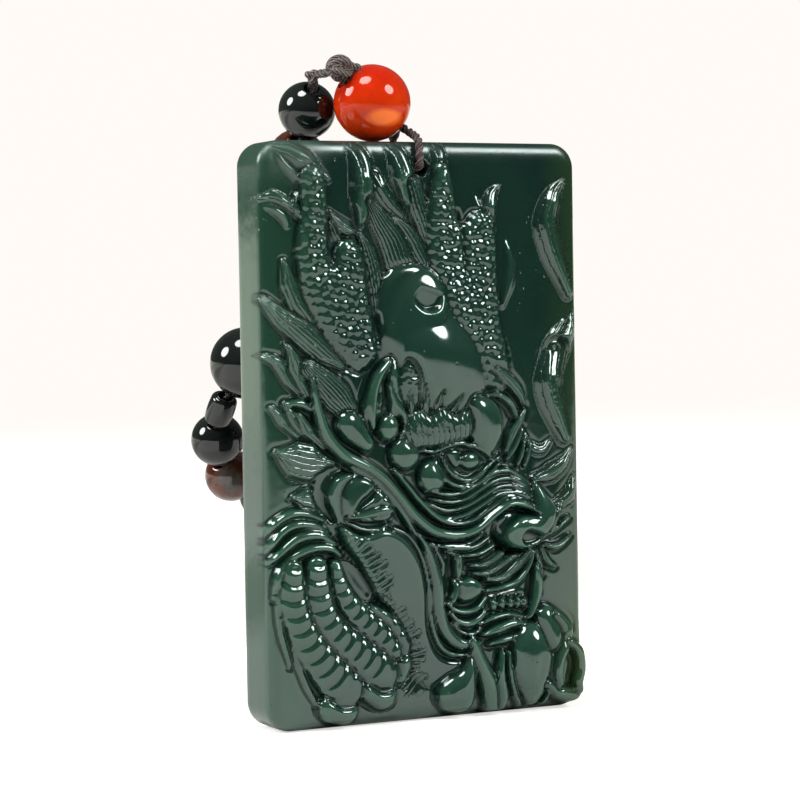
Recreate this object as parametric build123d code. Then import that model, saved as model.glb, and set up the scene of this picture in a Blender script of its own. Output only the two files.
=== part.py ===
from build123d import *
import math
import os
from collections import namedtuple

# A carved jade plaque on a string of round beads. It stands on its lower edge,
# as a desk photograph shows such a pendant, with the beads laid behind it.
# Millimetres. +X runs to the viewer's right, +Y to the back, +Z up; the origin
# is the middle of the flat foot under the plaque's side walls.

# The jade plaque
plaque_width = 36.6
plaque_height = 60.0
wall_thickness = 5.0      # flat side walls, front to back
corner_radius = 2.6       # the four corners, seen from the front
corner_facets = 5
front_rise = 1.3          # rounded front edge, from the side wall to the ground
front_rounding = 1.7      # width of that rounding
back_chamfer = 0.7
relief_depth = 1.6        # unit of the carving table's level and rise
relief_fade = 0.7         # strip at the outline in which the carving dies out
cells_across = 50
cells_up = 84

# The drilled hole and the twisted cord through it
hole_diameter = 1.6
hole_across = 49.5        # percent of the width
hole_below_top = 2.7
countersink = 0.35        # width and depth
cord_diameter = 1.0
cord_gap = 0.3            # from the cord to the jade
cord_bend = 0.8           # radius at the hole's two mouths
strand_spread = 0.2       # from the bore's axis to each strand, where they leave it

# The carnelian bead that sits on the plaque's top edge
red_bead_diameter = 8.0
red_bead_bore = 2.1
red_bead_across = -3.83   # from the plaque's middle line
bead_seat_gap = 0.15      # between the red bead and the jade
red_bore_tilt = 38.5      # degrees that the bore drops towards the right
stem_diameter = 1.7       # the doubled cord inside the red bead
stem_reach = 0.7          # how far it comes out of the red bead
stem_top_depth = 0.8      # how deep in the red bead it meets the wrapped knot

# The knots over the red bead
knot_diameter = 2.3
knot_length = 3.2
knot_rounding = 1.0
knot_gap = 0.12           # from the wrapped knot to the red bead
small_knot_diameter = 1.45
knot_link_diameter = 0.9
join_gap = 0.08           # between cord pieces that meet

# The string of beads
black_bead_diameter = 8.0
small_bead_diameter = 6.0
barrel_length = 3.6
barrel_diameter = 3.0
barrel_rounding = 0.6
bead_bore = 1.6
bead_gap = 0.2
barrel_gap = 0.3          # beside a barrel, whose rims lean over in a bend
bead_step = 0.02          # by which a bead moves on until its gap is reached
thread_diameter = 0.7
first_bead_start = 0.3    # from the thread's first end
bare_thread_end = 14.0    # thread behind the red bead

# The order of the beads along the string, which repeats
bead_order = ["black", "barrel", "small black", "agate", "small black", "agate", "small black", "barrel"]
first_in_order = 2

# The string's route: across, back and up, from the first black bead down behind
# the plaque's left edge, round on the surface and up again behind the red bead.
string_route = [
    (-9.4, 7.2, 59.6), (-5.6, 15.8, 56.0), (-0.8, 19.6, 48.8), (-6.8, 20.9, 41.0), (-12.1, 22.8, 33.2),
    (-10.4, 29.2, 27.6), (-7.0, 32.2, 22.6), (2.8, 35.4, 20.0), (9.0, 47.5, 10.0), (19.0, 69.5, 4.0),
    (34.0, 105.5, 4.0), (62.0, 163.5, 4.0), (100.2, 239.1, 4.0), (113.4, 244.8, 4.0), (127.1, 238.4, 4.0),
    (131.4, 224.3, 4.0), (104.0, 165.5, 4.0), (76.0, 109.5, 4.0), (52.0, 65.5, 4.0), (36.0, 41.5, 9.0),
    (22.0, 28.5, 20.0), (12.0, 19.5, 34.0), (5.0, 12.9, 47.0), (1.4, 9.1, 58.0), (-0.6, 7.0, 64.4),
    (-3.2, 3.9, 67.4),
]

# Broad swellings under the carving. Centre and reach are in percent of the
# plaque's width and height, the rise in percent of the relief's depth.
Swell = namedtuple("Swell", "name across up reach_across reach_up rise")
SWELLS = [
    Swell("head", 58, 60, 30, 27, 34),
    Swell("forehead", 53, 67, 19, 14, 26),
    Swell("muzzle", 66, 37, 24, 11, 26),
    Swell("nose", 82, 33, 15, 10, 26),
    Swell("cheek", 36, 37, 24, 14, 22),
    Swell("jaw", 66, 20, 20, 13, 22),
    Swell("left paw", 20, 18, 22, 17, 30),
    Swell("lower claws", 80, 8, 30, 12, 44),
]

# The carved forms, from the lowest to the topmost; each covers those before it.
# A rib follows its points with a half width at each, a pillow fills its outline
# and rounds off over its half width, a ball has two half widths. Points are in
# percent of the plaque's width and height, half widths in percent of its width,
# level and rise in percent of the relief's depth.
Form = namedtuple("Form", "name kind points half level rise")
FORMS = [
    Form("top leaf", "rib", [(6, 99), (9.5, 98), (14, 96.2), (20, 93.8)], (0.8, 2.4, 2.8, 0.6), 5, 42),
    Form("side leaf", "rib", [(1, 90), (5, 90), (11, 87.4)], (1.0, 2.2, 0.8), 3, 42),
    Form("flame", "rib", [(95.5, 92.8), (91.5, 90.2), (89.4, 86), (91.5, 80.5), (96.3, 73.6)],
         (0.4, 3.0, 3.8, 3.8, 2.0), 0, 38),
    Form("small flame", "rib", [(74.6, 92.4), (71.8, 90.8), (70.6, 88), (71, 85)], (0.4, 1.8, 2.4, 2.0), 6, 34),
    Form("big flame top", "rib", [(99, 70), (97, 67.2), (94, 64.6), (91, 61.5)], (0.8, 1.8, 3.6, 4.4), 6, 40),
    Form("big flame", "rib", [(92, 63.5), (89.6, 58.5), (90.8, 54), (94.3, 48)], (3.8, 4.6, 4.0, 1.9), 4, 42),
    Form("low flame", "rib", [(97, 46), (93.5, 43.4), (89.5, 41.8), (84, 40.8)], (0.5, 2.4, 3.0, 1.6), 6, 44),
    Form("cheek leaf", "rib", [(98, 41), (96, 37.8), (92.5, 36.4), (89, 36)], (1.0, 2.6, 2.2, 1.0), 2, 34),
    Form("mane one", "rib", [(27.5, 101), (30.2, 97.5), (31, 93), (30.6, 89), (29.8, 86)],
         (2.4, 3.4, 3.9, 3.0, 1.0), 4, 44),
    Form("mane two", "rib", [(39, 101), (42, 97.5), (43.8, 94), (44, 90)], (2.4, 3.2, 3.4, 2.0), 6, 44),
    Form("mane comb left", "rib", [(32.5, 89.5), (36.5, 86), (40.4, 82.6), (42.6, 78.8)],
         (1.6, 3.6, 4.8, 5.0), 6, 42),
    Form("mane comb right", "rib", [(46.5, 92.5), (48.5, 88.6), (51, 84.6), (53.2, 80.4)],
         (2.6, 3.2, 3.0, 1.4), 6, 42),
    Form("antler hair", "rib", [(29.8, 84), (32.6, 80.5), (34.4, 76), (34.8, 71)], (1.0, 2.5, 2.7, 1.4), 4, 38),
    Form("lock one", "rib", [(6.5, 79.5), (8.2, 75.5), (11, 71.8), (16, 68)], (0.8, 2.8, 3.4, 1.2), 4, 42),
    Form("lock two", "rib", [(0.5, 73.5), (5, 70.4), (11.5, 67.4), (18, 64), (23.5, 61.6)],
         (0.9, 2.8, 3.9, 3.6, 1.2), 8, 48),
    Form("lock three", "rib", [(0.6, 63.8), (4.4, 62.4), (7.4, 59.4), (11.5, 56.6)], (0.7, 1.9, 1.7, 0.8), 4, 40),
    Form("lock four", "rib", [(7.2, 65.4), (9.6, 61.8), (12.6, 57.2)], (0.8, 2.8, 1.6), 8, 44),
    Form("fin one", "rib", [(2.2, 55), (5.4, 52.8), (9.8, 50)], (0.6, 1.9, 0.9), 2, 38),
    Form("fin two", "rib", [(6, 55.4), (8.8, 53), (12, 50)], (0.8, 2.1, 1.0), 6, 42),
    Form("fin four", "rib", [(10, 53.8), (12.8, 51), (17.5, 48)], (1.0, 2.2, 1.0), 8, 44),
    Form("shell leaf", "rib", [(3.4, 47.6), (8.2, 46.4), (13.5, 45.6), (20.5, 45.2)], (0.9, 5.2, 5.4, 0.9), 6, 52),
    Form("lower shell", "rib", [(8, 39.8), (11.5, 39.4), (16.5, 38.4)], (0.8, 3.8, 2.4), 4, 44),
    Form("left antler", "rib", [(17, 94.4), (17, 89), (16.8, 84), (17, 79), (18.6, 74), (22.5, 69), (27.5, 64.5),
                                (30.5, 61)], (2.6, 3.7, 3.9, 4.3, 4.6, 5.0, 5.2, 3.6), 10, 56),
    Form("left antler tine", "rib", [(27, 83.6), (26.6, 80), (27.2, 75.5), (29, 71), (32, 67), (35.5, 64.6)],
         (2.2, 3.8, 4.2, 4.3, 4.3, 2.4), 10, 56),
    Form("right antler", "rib", [(59, 96), (58.5, 92), (58.3, 87), (58.8, 82), (60.8, 77), (64.5, 72.5), (69, 68)],
         (2.6, 3.8, 4.2, 4.4, 4.8, 4.6, 3.6), 10, 56),
    Form("right antler tine", "rib", [(72, 87.2), (71.6, 83), (70.4, 78), (70.4, 73), (72.6, 67.5), (75.6, 62.5),
                                      (78.2, 57)], (2.4, 4.4, 4.8, 4.9, 4.8, 3.9, 1.8), 12, 58),
    Form("antler web", "rib", [(65, 84.6), (64.5, 80), (65, 75)], (1.6, 4.4, 4.0), 12, 44),
    Form("forehead", "pillow", [(38.6, 70), (39, 75), (42, 78.2), (47, 79.4), (52, 78.6), (55.6, 75.8), (58.5, 72.2),
                                (63, 68.6), (67, 64.8), (69.2, 60.5), (67, 57), (62, 55.6), (55, 55.4), (50, 57),
                                (45.5, 60.4), (41.5, 64.5)], (9.0,), 14, 86),
    Form("curl hollow", "pillow", [(47.2, 72.5), (48.6, 74.4), (52, 74.6), (56, 73), (53, 70.8), (49.6, 70.2)],
         (1.6,), 92, -34),
    Form("comb", "rib", [(13.2, 61.4), (17.5, 59), (21.5, 56.6), (24.6, 54.2)], (3.0, 4.6, 5.0, 3.6), 10, 54),
    Form("temple ball", "rib", [(25, 51.8), (27, 50.6), (30, 48.4)], (4.2, 4.4, 2.6), 10, 74),
    Form("ear", "pillow", [(37.6, 63.4), (33.4, 61), (30.2, 57), (29, 53.4), (32, 50.4), (34.6, 53), (38.2, 52),
                           (42.4, 54), (41.4, 59), (40, 62)], (3.4,), 14, 62),
    Form("ear hollow", "rib", [(36.4, 60.6), (35.8, 57.4), (36.2, 53.6)], (1.0, 1.8, 1.6), 34, -24),
    Form("scaly cheek", "pillow", [(42, 62.8), (40.2, 60), (40.4, 57), (42.6, 54.6), (44.2, 52.8), (46.4, 55),
                                   (46.6, 59), (44.6, 62)], (2.2,), 24, 40),
    Form("first ball", "ball", [(36.8, 51)], (3.3, 4.0), 22, 72),
    Form("second ball", "ball", [(41.8, 46.5)], (4.9, 4.9), 18, 74),
    Form("third ball", "ball", [(50.3, 42.2)], (4.5, 5.0), 18, 72),
    Form("big ball", "pillow", [(64.4, 54.6), (66.5, 56), (70.5, 55.6), (75, 53.6), (76.6, 50), (75, 47), (72, 44.8),
                                (68.4, 46), (65.2, 48.4), (63.6, 51.6)], (5.5,), 16, 82),
    Form("ball hair", "rib", [(71.5, 60.4), (75, 58.8), (78.6, 56.6), (80.6, 54)], (0.8, 1.9, 1.9, 0.7), 16, 46),
    Form("brow", "pillow", [(45.8, 51.4), (50, 55), (56, 55), (62.6, 55), (62, 51.2), (64.8, 49.6), (65.2, 47.4),
                            (60, 47), (54, 46.8), (49, 47.4), (46.4, 49)], (2.6,), 30, 50),
    Form("eyeball", "ball", [(62.2, 44.7)], (3.3, 2.6), 30, 38),
    Form("eye bag", "rib", [(51.2, 45.6), (53, 42.8), (56.4, 40.8), (61, 40.2), (65.6, 40.9), (69.6, 42.8),
                            (73, 44.4)], (0.5, 1.1, 1.2, 1.2, 1.2, 0.9, 0.5), 38, 24),
    Form("jaw shell bed", "pillow", [(17, 41), (18.4, 43.6), (22, 44.8), (28, 44), (34, 42), (39, 38.6), (41.6, 36),
                                     (38, 33.6), (31, 33), (25, 33.6), (21.4, 35.4), (18.4, 38)], (2.2,), 20, 26),
    Form("jaw shell", "pillow", [(24.6, 36), (24.4, 39.6), (26.4, 42.2), (30, 42.8), (34, 41.4), (37.4, 39),
                                 (40.4, 36.6), (37, 34.8), (31, 34), (26.4, 34.8)], (1.5,), 34, 30),
    Form("jaw shell hollow", "pillow", [(26, 37.4), (26, 40), (28.6, 41.8), (32, 41.8), (35, 40.6), (33.4, 38.6),
                                        (30, 37), (27.4, 36.6)], (1.2,), 52, -40),
    Form("neck", "pillow", [(22, 34.4), (28, 33), (35, 33.8), (41, 32), (45.4, 28.2), (48, 22), (48.8, 15.6),
                            (52.4, 11.4), (58, 10.2), (64.4, 10.4), (63.6, 8.6), (56, 6.4), (49, 5.6), (44, 8),
                            (42, 13), (37.6, 18.6), (32, 22.6), (27, 28), (22.6, 31.6)], (7.0,), 12, 58),
    Form("muzzle", "rib", [(47, 38.4), (53, 37), (60, 36.8), (66, 38.2), (71, 39.8), (76, 40.2), (82, 38.4)],
         (1.6, 4.0, 4.6, 4.6, 4.4, 4.0, 2.0), 30, 32),
    Form("band", "rib", [(13.6, 60), (14.8, 55.8), (17.6, 50.4), (22.6, 46.8), (29, 44.6), (34.4, 42.4), (39.6, 38.8),
                         (45, 35.2), (51, 32.7), (58, 31.9), (64, 32.8), (69.4, 35.2), (74.6, 36.9), (80, 36.4)],
         (0.8, 1.4, 2.0, 2.1, 2.0, 1.9, 1.9, 1.9, 1.8, 1.7, 1.6, 1.5, 1.3, 1.1), 30, 56),
    Form("jaw band", "rib", [(42, 33.4), (47.4, 29), (50, 24), (50.8, 18.6), (53, 14.4), (58, 12.2), (64, 12)],
         (0.8, 2.2, 2.6, 2.6, 2.6, 2.4, 1.2), 26, 42),
    Form("mouth", "pillow", [(55, 28), (60, 28.4), (66, 27.6), (66.6, 24.6), (66, 21.4), (60, 20.6), (55, 21),
                             (54, 24.6)], (1.4,), 26, -40),
    Form("upper lip", "rib", [(53, 29.6), (59, 28.8), (66, 28.4), (73, 27), (81, 28)], (0.8, 1.4, 2.0, 2.4, 1.0),
         26, 38),
    Form("tongue", "pillow", [(57.6, 23.6), (60.4, 24.4), (63, 24.4), (66, 23), (65.4, 21.4), (62, 20.2),
                              (58.4, 20.4)], (2.0,), 10, 52),
    Form("lower lip", "rib", [(54.6, 19.4), (57.6, 17.4), (61.4, 16.8), (64.6, 18), (67.2, 20.4)],
         (0.6, 1.8, 2.0, 1.8, 0.6), 24, 42),
    Form("beard", "rib", [(65, 14.8), (70, 15.4), (75, 16), (80.6, 15.8)], (1.0, 2.2, 2.2, 0.9), 24, 42),
    Form("tusk", "rib", [(84, 25.4), (84, 21.6), (82.4, 18.4), (80.4, 16.4)], (1.4, 1.9, 1.5, 0.6), 22, 56),
    Form("nose bridge", "pillow", [(83, 40.4), (87, 38.6), (90.4, 36), (91, 33.4), (88, 31), (84, 29.4), (78, 28.6),
                                   (73.4, 29.4), (70.6, 32), (72.4, 34.6), (77, 35.6), (82, 35.4)], (4.6,), 26, 76),
    Form("nostril", "pillow", [(77, 31), (79.6, 32.6), (82.6, 32.2), (86, 30.8), (83.4, 29.4), (79.4, 29)],
         (1.2,), 84, -60),
    Form("nose tuft", "rib", [(86.4, 29.6), (91, 30), (96, 31.6)], (0.8, 1.8, 0.7), 12, 46),
    Form("lower nose tuft", "rib", [(85, 28.8), (87, 26.4), (89.6, 25)], (0.8, 1.9, 0.7), 12, 46),
    Form("cuff one", "rib", [(0.6, 34), (4, 36), (7.4, 37), (12, 36.8), (17, 35.6)], (0.9, 1.4, 1.5, 1.2, 0.6), 10, 44),
    Form("cuff two", "rib", [(0.8, 30.6), (4.6, 33), (9, 34.2), (14.6, 34), (19, 32.4)], (1.0, 2.6, 2.8, 2.6, 1.0),
         12, 46),
    Form("paw back", "rib", [(2.2, 23), (3.4, 27), (7, 29.6), (12.4, 31), (18, 31), (21.4, 29.6)],
         (0.8, 1.3, 1.6, 1.7, 1.5, 0.8), 14, 50),
    Form("fourth nail", "rib", [(39.6, 12.4), (40.2, 9.8), (39, 7.8)], (2.6, 2.7, 1.6), 12, 60),
    Form("fourth finger", "rib", [(27, 19.8), (32, 18.6), (36.4, 16.6), (39.4, 13.6)], (1.0, 2.0, 2.5, 2.7), 16, 62),
    Form("third finger", "rib", [(19.4, 27.4), (20.6, 23.8), (23.6, 20.4), (28, 17.6), (33, 15.2), (36.6, 12.8)],
         (1.4, 2.2, 2.8, 3.0, 3.0, 2.2), 18, 66),
    Form("second nail", "rib", [(30, 6.8), (33.6, 5)], (4.6, 4.2), 16, 74),
    Form("second finger", "rib", [(14, 27.4), (14.2, 23.4), (15.4, 19.4), (18.8, 16), (23.6, 13.4), (29, 10.8),
                                  (34, 8.4)], (2.7, 3.4, 3.5, 3.8, 4.2, 4.4, 4.4), 22, 72),
    Form("first nail", "rib", [(19, 3.4), (22, 2.9)], (4.0, 3.8), 14, 72),
    Form("first finger", "rib", [(7.4, 27), (7, 23), (8, 19), (10.8, 15), (14.6, 11.4), (19, 8.2), (22, 6.2)],
         (2.4, 3.2, 3.3, 3.6, 4.2, 4.9, 4.6), 18, 72),
    Form("claw stem", "rib", [(66, 13.4), (67.6, 9.2), (67.6, 5), (68.4, 1.4)], (1.6, 3.0, 3.4, 2.8), 18, 56),
    Form("teardrop claw", "pillow", [(51.6, 3.8), (54, 6.2), (58, 7.4), (62, 8.2), (65.4, 7), (66.4, 3.6),
                                     (63.6, 0.9), (58, 0.5), (53.6, 1.3)], (4.6,), 22, 78),
    Form("middle claw", "rib", [(72.4, 11), (71.8, 7), (72.4, 3.4), (71.6, 1.2)], (0.8, 1.5, 1.9, 1.2), 20, 54),
    Form("pearl rim", "rib", [(88.8, 11), (88, 6.8), (86.8, 3.8), (85, 1.2)], (0.8, 1.4, 1.4, 0.8), 20, 48),
    Form("pearl", "pillow", [(74.8, 9), (75, 12.4), (77.4, 15), (81.6, 16), (85.8, 14.8), (88, 11.6), (87.4, 7.4),
                             (85, 3.2), (81.2, 1), (77.4, 2.8), (75.2, 6)], (8.0,), 24, 98),
    Form("knuckle", "pillow", [(86, 16.4), (90.4, 18.4), (94.6, 16.6), (96.8, 14), (96.4, 10.8), (93, 9.4),
                               (90, 10.4), (88, 13)], (4.0,), 22, 70),
    Form("claw one", "rib", [(90.6, 11.6), (91, 8), (92.4, 5), (93.6, 3)], (1.2, 1.7, 1.7, 1.0), 20, 62),
    Form("claw two", "rib", [(94.8, 11), (95.4, 8), (96.4, 5.4), (96.4, 2.8)], (1.2, 1.7, 1.7, 1.0), 18, 62),
    Form("claw three", "rib", [(98, 11.6), (98.6, 8.6), (98.8, 5.6), (98.8, 3)], (0.8, 1.6, 1.6, 1.4), 18, 64),
    Form("claw pad", "rib", [(90.6, 2), (94, 1.8), (98.6, 2)], (1.2, 1.6, 1.6), 16, 58),
]


# The carving: heights over the plaque's ground

def smooth_line(points, closed):
    """A smooth line through the points; each of its points also tells its place in the list."""
    steps = 4
    if closed:
        padded = [points[-1]] + points + points[:2]
    else:
        first = tuple(2 * a - b for a, b in zip(points[0], points[1]))
        last = tuple(2 * a - b for a, b in zip(points[-1], points[-2]))
        padded = [first] + points + [last]
    line = []
    for i in range(len(padded) - 3):
        p0, p1, p2, p3 = padded[i:i + 4]
        for k in range(steps):
            t = k / steps
            spot = [0.5 * (2 * b + (c - a) * t + (2 * a - 5 * b + 4 * c - d) * t ** 2
                           + (3 * b - a - 3 * c + d) * t ** 3) for a, b, c, d in zip(p0, p1, p2, p3)]
            line.append((spot[0], spot[1], i + t))
    if closed:
        line.append((line[0][0], line[0][1], len(points)))
    else:
        line.append((points[-1][0], points[-1][1], len(points) - 1))
    return line


def width_at(half, place):
    """The half width at a place along a rib."""
    i = min(int(place), len(half) - 2)
    return half[i] + (half[i + 1] - half[i]) * (place - i)


class CarvedForm:
    """One form of the carving, in millimetres on the plaque's face."""

    def __init__(self, form):
        self.kind = form.kind
        self.half = [share / 100 * plaque_width for share in form.half]
        self.level = form.level / 100 * relief_depth
        self.rise = form.rise / 100 * relief_depth
        points = [((a / 100 - 0.5) * plaque_width, u / 100 * plaque_height) for a, u in form.points]
        if form.kind == "ball":
            self.line = [(points[0][0], points[0][1], 0)]
        else:
            self.line = smooth_line(points, form.kind == "pillow")
        reach = 0 if form.kind == "pillow" else max(self.half)
        self.low = [min(p[k] for p in self.line) - reach for k in (0, 1)]
        self.high = [max(p[k] for p in self.line) + reach for k in (0, 1)]

    def near(self, x, z):
        return self.low[0] < x < self.high[0] and self.low[1] < z < self.high[1]

    def nearest(self, x, z):
        """The distance to the form's line, and the place along it."""
        best = (1e9, 0)
        for (x0, z0, s0), (x1, z1, s1) in zip(self.line, self.line[1:]):
            dx, dz = x1 - x0, z1 - z0
            t = ((x - x0) * dx + (z - z0) * dz) / (dx * dx + dz * dz + 1e-9)
            t = min(max(t, 0), 1)
            best = min(best, (math.hypot(x - x0 - t * dx, z - z0 - t * dz), s0 + t * (s1 - s0)))
        return best

    def inside(self, x, z):
        odd = False
        for (x0, z0, _), (x1, z1, _) in zip(self.line, self.line[1:]):
            if (z0 > z) != (z1 > z) and x < (x1 - x0) * (z - z0) / (z1 - z0) + x0:
                odd = not odd
        return odd

    def roundness(self, x, z):
        """None outside the form, else 0 at its edge to 1 on its crown."""
        if self.kind == "ball":
            q = math.hypot((x - self.line[0][0]) / self.half[0], (z - self.line[0][1]) / self.half[1])
        elif self.kind == "rib":
            distance, place = self.nearest(x, z)
            q = distance / width_at(self.half, place)
        elif self.inside(x, z):
            q = 1 - min(self.nearest(x, z)[0] / self.half[0], 1)
        else:
            q = 1
        return math.sqrt(1 - q * q) if q < 1 else None


carved_forms = [CarvedForm(form) for form in FORMS]


def relief(x, z):
    """Height of the carving over the ground at one place of the face."""
    base = 0
    for swell in SWELLS:
        across = (x / plaque_width + 0.5) * 100 - swell.across
        up = z / plaque_height * 100 - swell.up
        share = (across / swell.reach_across) ** 2 + (up / swell.reach_up) ** 2
        if share < 1:
            base += (1 - share) ** 2 * swell.rise / 100 * relief_depth
    height = base
    for form in carved_forms:
        if form.near(x, z):
            crown = form.roundness(x, z)
            if crown is not None:
                height = base + form.level + form.rise * crown
    return height


# The plaque

def half_width(z):
    """Half the plaque's width at a height, with its rounded corners."""
    into_corner = corner_radius - min(z, plaque_height - z, corner_radius)
    return plaque_width / 2 - corner_radius + math.sqrt(corner_radius ** 2 - into_corner ** 2)


def inset(x, z):
    """How far a place of the face lies inside the plaque's outline."""
    side = plaque_width / 2 - abs(x)
    end = min(z, plaque_height - z)
    if side < corner_radius and end < corner_radius:
        return corner_radius - math.hypot(corner_radius - side, corner_radius - end)
    return min(side, end)


def front_y(x, z):
    """The carved face: rounded at the outline, with the relief fading in."""
    depth = max(inset(x, z), 0)
    rounding = 1 - min(depth / front_rounding, 1)
    fade = min(depth / relief_fade, 1)
    fade = fade * fade * (3 - 2 * fade)
    return -wall_thickness / 2 - front_rise * math.sqrt(1 - rounding ** 2) - relief(x, z) * fade


def outline_heights():
    """The rows of the face: arc steps in the corners, even rows between them."""
    arc = [corner_radius * (1 - math.cos(math.pi / 2 * k / corner_facets)) for k in range(corner_facets)]
    straight = plaque_height - 2 * corner_radius
    middle = [corner_radius + straight * k / cells_up for k in range(cells_up + 1)]
    return arc + middle + [plaque_height - z for z in reversed(arc)]


def column_shares():
    """Columns from -1 to 1, closer together at the two sides for the rounded edge."""
    edge = [0, 0.25 * front_rounding, 0.6 * front_rounding, front_rounding]
    edge = [width / (plaque_width / 2) for width in edge]
    inner = 1 - edge[-1]
    middle = [-inner + 2 * inner * k / cells_across for k in range(1, cells_across)]
    return [-1 + share for share in edge] + middle + [1 - share for share in reversed(edge)]


def polygon(points):
    return Face(Wire.make_polygon([Vector(*p) for p in points]))


def face_cell(a, b, c, d):
    """A cell of the carved face: one flat face, or two triangles."""
    across, up = Vector(*b) - Vector(*a), Vector(*d) - Vector(*a)
    off_plane = across.cross(up).normalized().dot(Vector(*c) - Vector(*a))
    if abs(off_plane) < 1e-6:
        return [polygon([a, b, c, d])]
    return [polygon([a, b, c]), polygon([a, c, d])]


def outline_ring(inward):
    """The plaque's outline, counter-clockwise from the front, drawn in by a distance."""
    ring = []
    radius = corner_radius - inward
    for side, end, start in ((1, -1, -90), (1, 1, 0), (-1, 1, 90), (-1, -1, 180)):
        cx = side * (plaque_width / 2 - corner_radius)
        cz = corner_radius if end < 0 else plaque_height - corner_radius
        for k in range(corner_facets + 1):
            angle = math.radians(start + 90 * k / corner_facets)
            ring.append((cx + radius * math.cos(angle), cz + radius * math.sin(angle)))
    return ring


def plaque_skin():
    """All the faces of the plaque before it is drilled."""
    rows = outline_heights()
    shares = column_shares()
    grid = [[(share * half_width(z), front_y(share * half_width(z), z), z) for share in shares] for z in rows]
    faces = []
    for low, high in zip(grid, grid[1:]):
        for i in range(len(shares) - 1):
            faces += face_cell(low[i], low[i + 1], high[i + 1], high[i])
    chamfer_y = wall_thickness / 2 - back_chamfer
    back_y = wall_thickness / 2
    walls = outline_ring(0)
    back = outline_ring(back_chamfer)
    bottom_row, top_row = grid[0], grid[-1]
    first, last = corner_facets, len(rows) - 1 - corner_facets
    right_edge = [row[-1] for row in grid]
    left_edge = [row[0] for row in grid]
    # flat side, top and foot faces, whose front edge follows the carved face
    for edge in (right_edge[first:last + 1], left_edge[first:last + 1], bottom_row, top_row):
        (x0, _, z0), (x1, _, z1) = edge[0], edge[-1]
        faces.append(polygon(list(edge) + [(x1, chamfer_y, z1), (x0, chamfer_y, z0)]))
    # facets round the four corners
    for edge in (right_edge, left_edge):
        for k in list(range(corner_facets)) + list(range(last, len(rows) - 1)):
            (x0, y0, z0), (x1, y1, z1) = edge[k], edge[k + 1]
            faces.append(polygon([(x0, y0, z0), (x1, y1, z1), (x1, chamfer_y, z1), (x0, chamfer_y, z0)]))
    # chamfer round the back, and the back itself
    for k in range(len(walls)):
        (x0, z0), (x1, z1) = walls[k - 1], walls[k]
        (x2, z2), (x3, z3) = back[k], back[k - 1]
        faces.append(polygon([(x0, chamfer_y, z0), (x1, chamfer_y, z1), (x2, back_y, z2), (x3, back_y, z3)]))
    faces.append(polygon([(x, back_y, z) for x, z in back]))
    return faces


hole_x = (hole_across / 100 - 0.5) * plaque_width
hole_z = plaque_height - hole_below_top


def make_plaque():
    body = Solid(Shell(plaque_skin()))
    across_y = Rot(90, 0, 0)
    drill = Pos(hole_x, 0, hole_z) * across_y * Cylinder(hole_diameter / 2, 3 * wall_thickness)
    mouth_y = front_y(hole_x, hole_z)
    rim = hole_diameter / 2 + countersink
    flare = Cone(hole_diameter / 2 - countersink, rim + countersink, 3 * countersink)
    flare = Pos(hole_x, mouth_y + countersink / 2, hole_z) * across_y * flare
    return body - drill - flare


# The red bead, its cord and the knots

red_centre = Vector(red_bead_across, 0, plaque_height + bead_seat_gap + red_bead_diameter / 2)
tilt = math.radians(red_bore_tilt)
bore_down = Vector(math.cos(tilt), 0, -math.sin(tilt))


def rod(start, end, diameter):
    """A round rod between two places."""
    axis = end - start
    plane = Plane(origin=start, z_dir=axis)
    return plane * Cylinder(diameter / 2, axis.length, align=(Align.CENTER, Align.CENTER, Align.MIN))


def make_red_bead():
    reach = bore_down * red_bead_diameter
    return Pos(red_centre) * Sphere(red_bead_diameter / 2) - rod(red_centre - reach, red_centre + reach, red_bead_bore)


knot_side = Vector(-0.66, -0.2, 0.72).normalized()
knot_end = red_centre + knot_side * (red_bead_diameter / 2 + knot_diameter / 2 + knot_gap)
knot_centre = knot_end - Vector((knot_length - knot_diameter) / 2, 0, 0)
small_knot_centre = knot_centre + Vector(-1.7, knot_diameter / 2 + small_knot_diameter / 2 + 1.7, -0.95)
stem_top = red_centre - bore_down * (red_bead_diameter / 2 - stem_top_depth)
stem_end = red_centre + bore_down * (red_bead_diameter / 2 + stem_reach)


def tube(points, radii, diameter):
    """A round cord along straight runs joined by arcs."""
    path = FilletPolyline(*points, radius=radii)
    section = Plane(origin=path @ 0, z_dir=path % 0) * Circle(diameter / 2)
    return sweep(section, path=path)


def make_hanging_cord():
    """The doubled cord in the red bead, and its loop over the top edge and through the hole."""
    front = front_y(hole_x, hole_z) - cord_gap - cord_diameter / 2
    back = wall_thickness / 2 + cord_gap + cord_diameter / 2
    start = stem_end - bore_down * (cord_diameter / 2)
    over_top = plaque_height + cord_diameter
    loop = [
        (start.X, -strand_spread, start.Z),
        (hole_x + 0.1, -wall_thickness / 2 + 0.6, over_top + 0.15),
        (hole_x, front, over_top - 0.5),
        (hole_x, front, hole_z),
        (hole_x, back, hole_z),
        (hole_x, back, over_top - 0.1),
        (start.X, strand_spread, start.Z),
    ]
    bends = [cord_diameter, cord_diameter, cord_bend, cord_bend, cord_diameter]
    return rod(stem_top, stem_end, stem_diameter) + tube(loop, bends, cord_diameter)


def make_wrapped_knot():
    """The wrapped knot, with the cord that enters the red bead below it."""
    barrel = fillet(Cylinder(knot_diameter / 2, knot_length).edges(), knot_rounding)
    tail_top = red_centre - bore_down * (red_bead_diameter / 2 + stem_diameter / 2)
    return Pos(knot_centre) * Rot(0, 90, 0) * barrel + rod(tail_top, stem_top - bore_down * join_gap, stem_diameter)


def make_small_knot():
    """The stopper knot over the first black bead, with its link to the wrapped knot."""
    link_start = knot_centre + Vector(-0.9, knot_diameter / 2 + join_gap + 0.2, -0.3)
    link = rod(link_start, small_knot_centre, knot_link_diameter)
    return Pos(small_knot_centre) * Sphere(small_knot_diameter / 2) + link


# The string of beads

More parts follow.
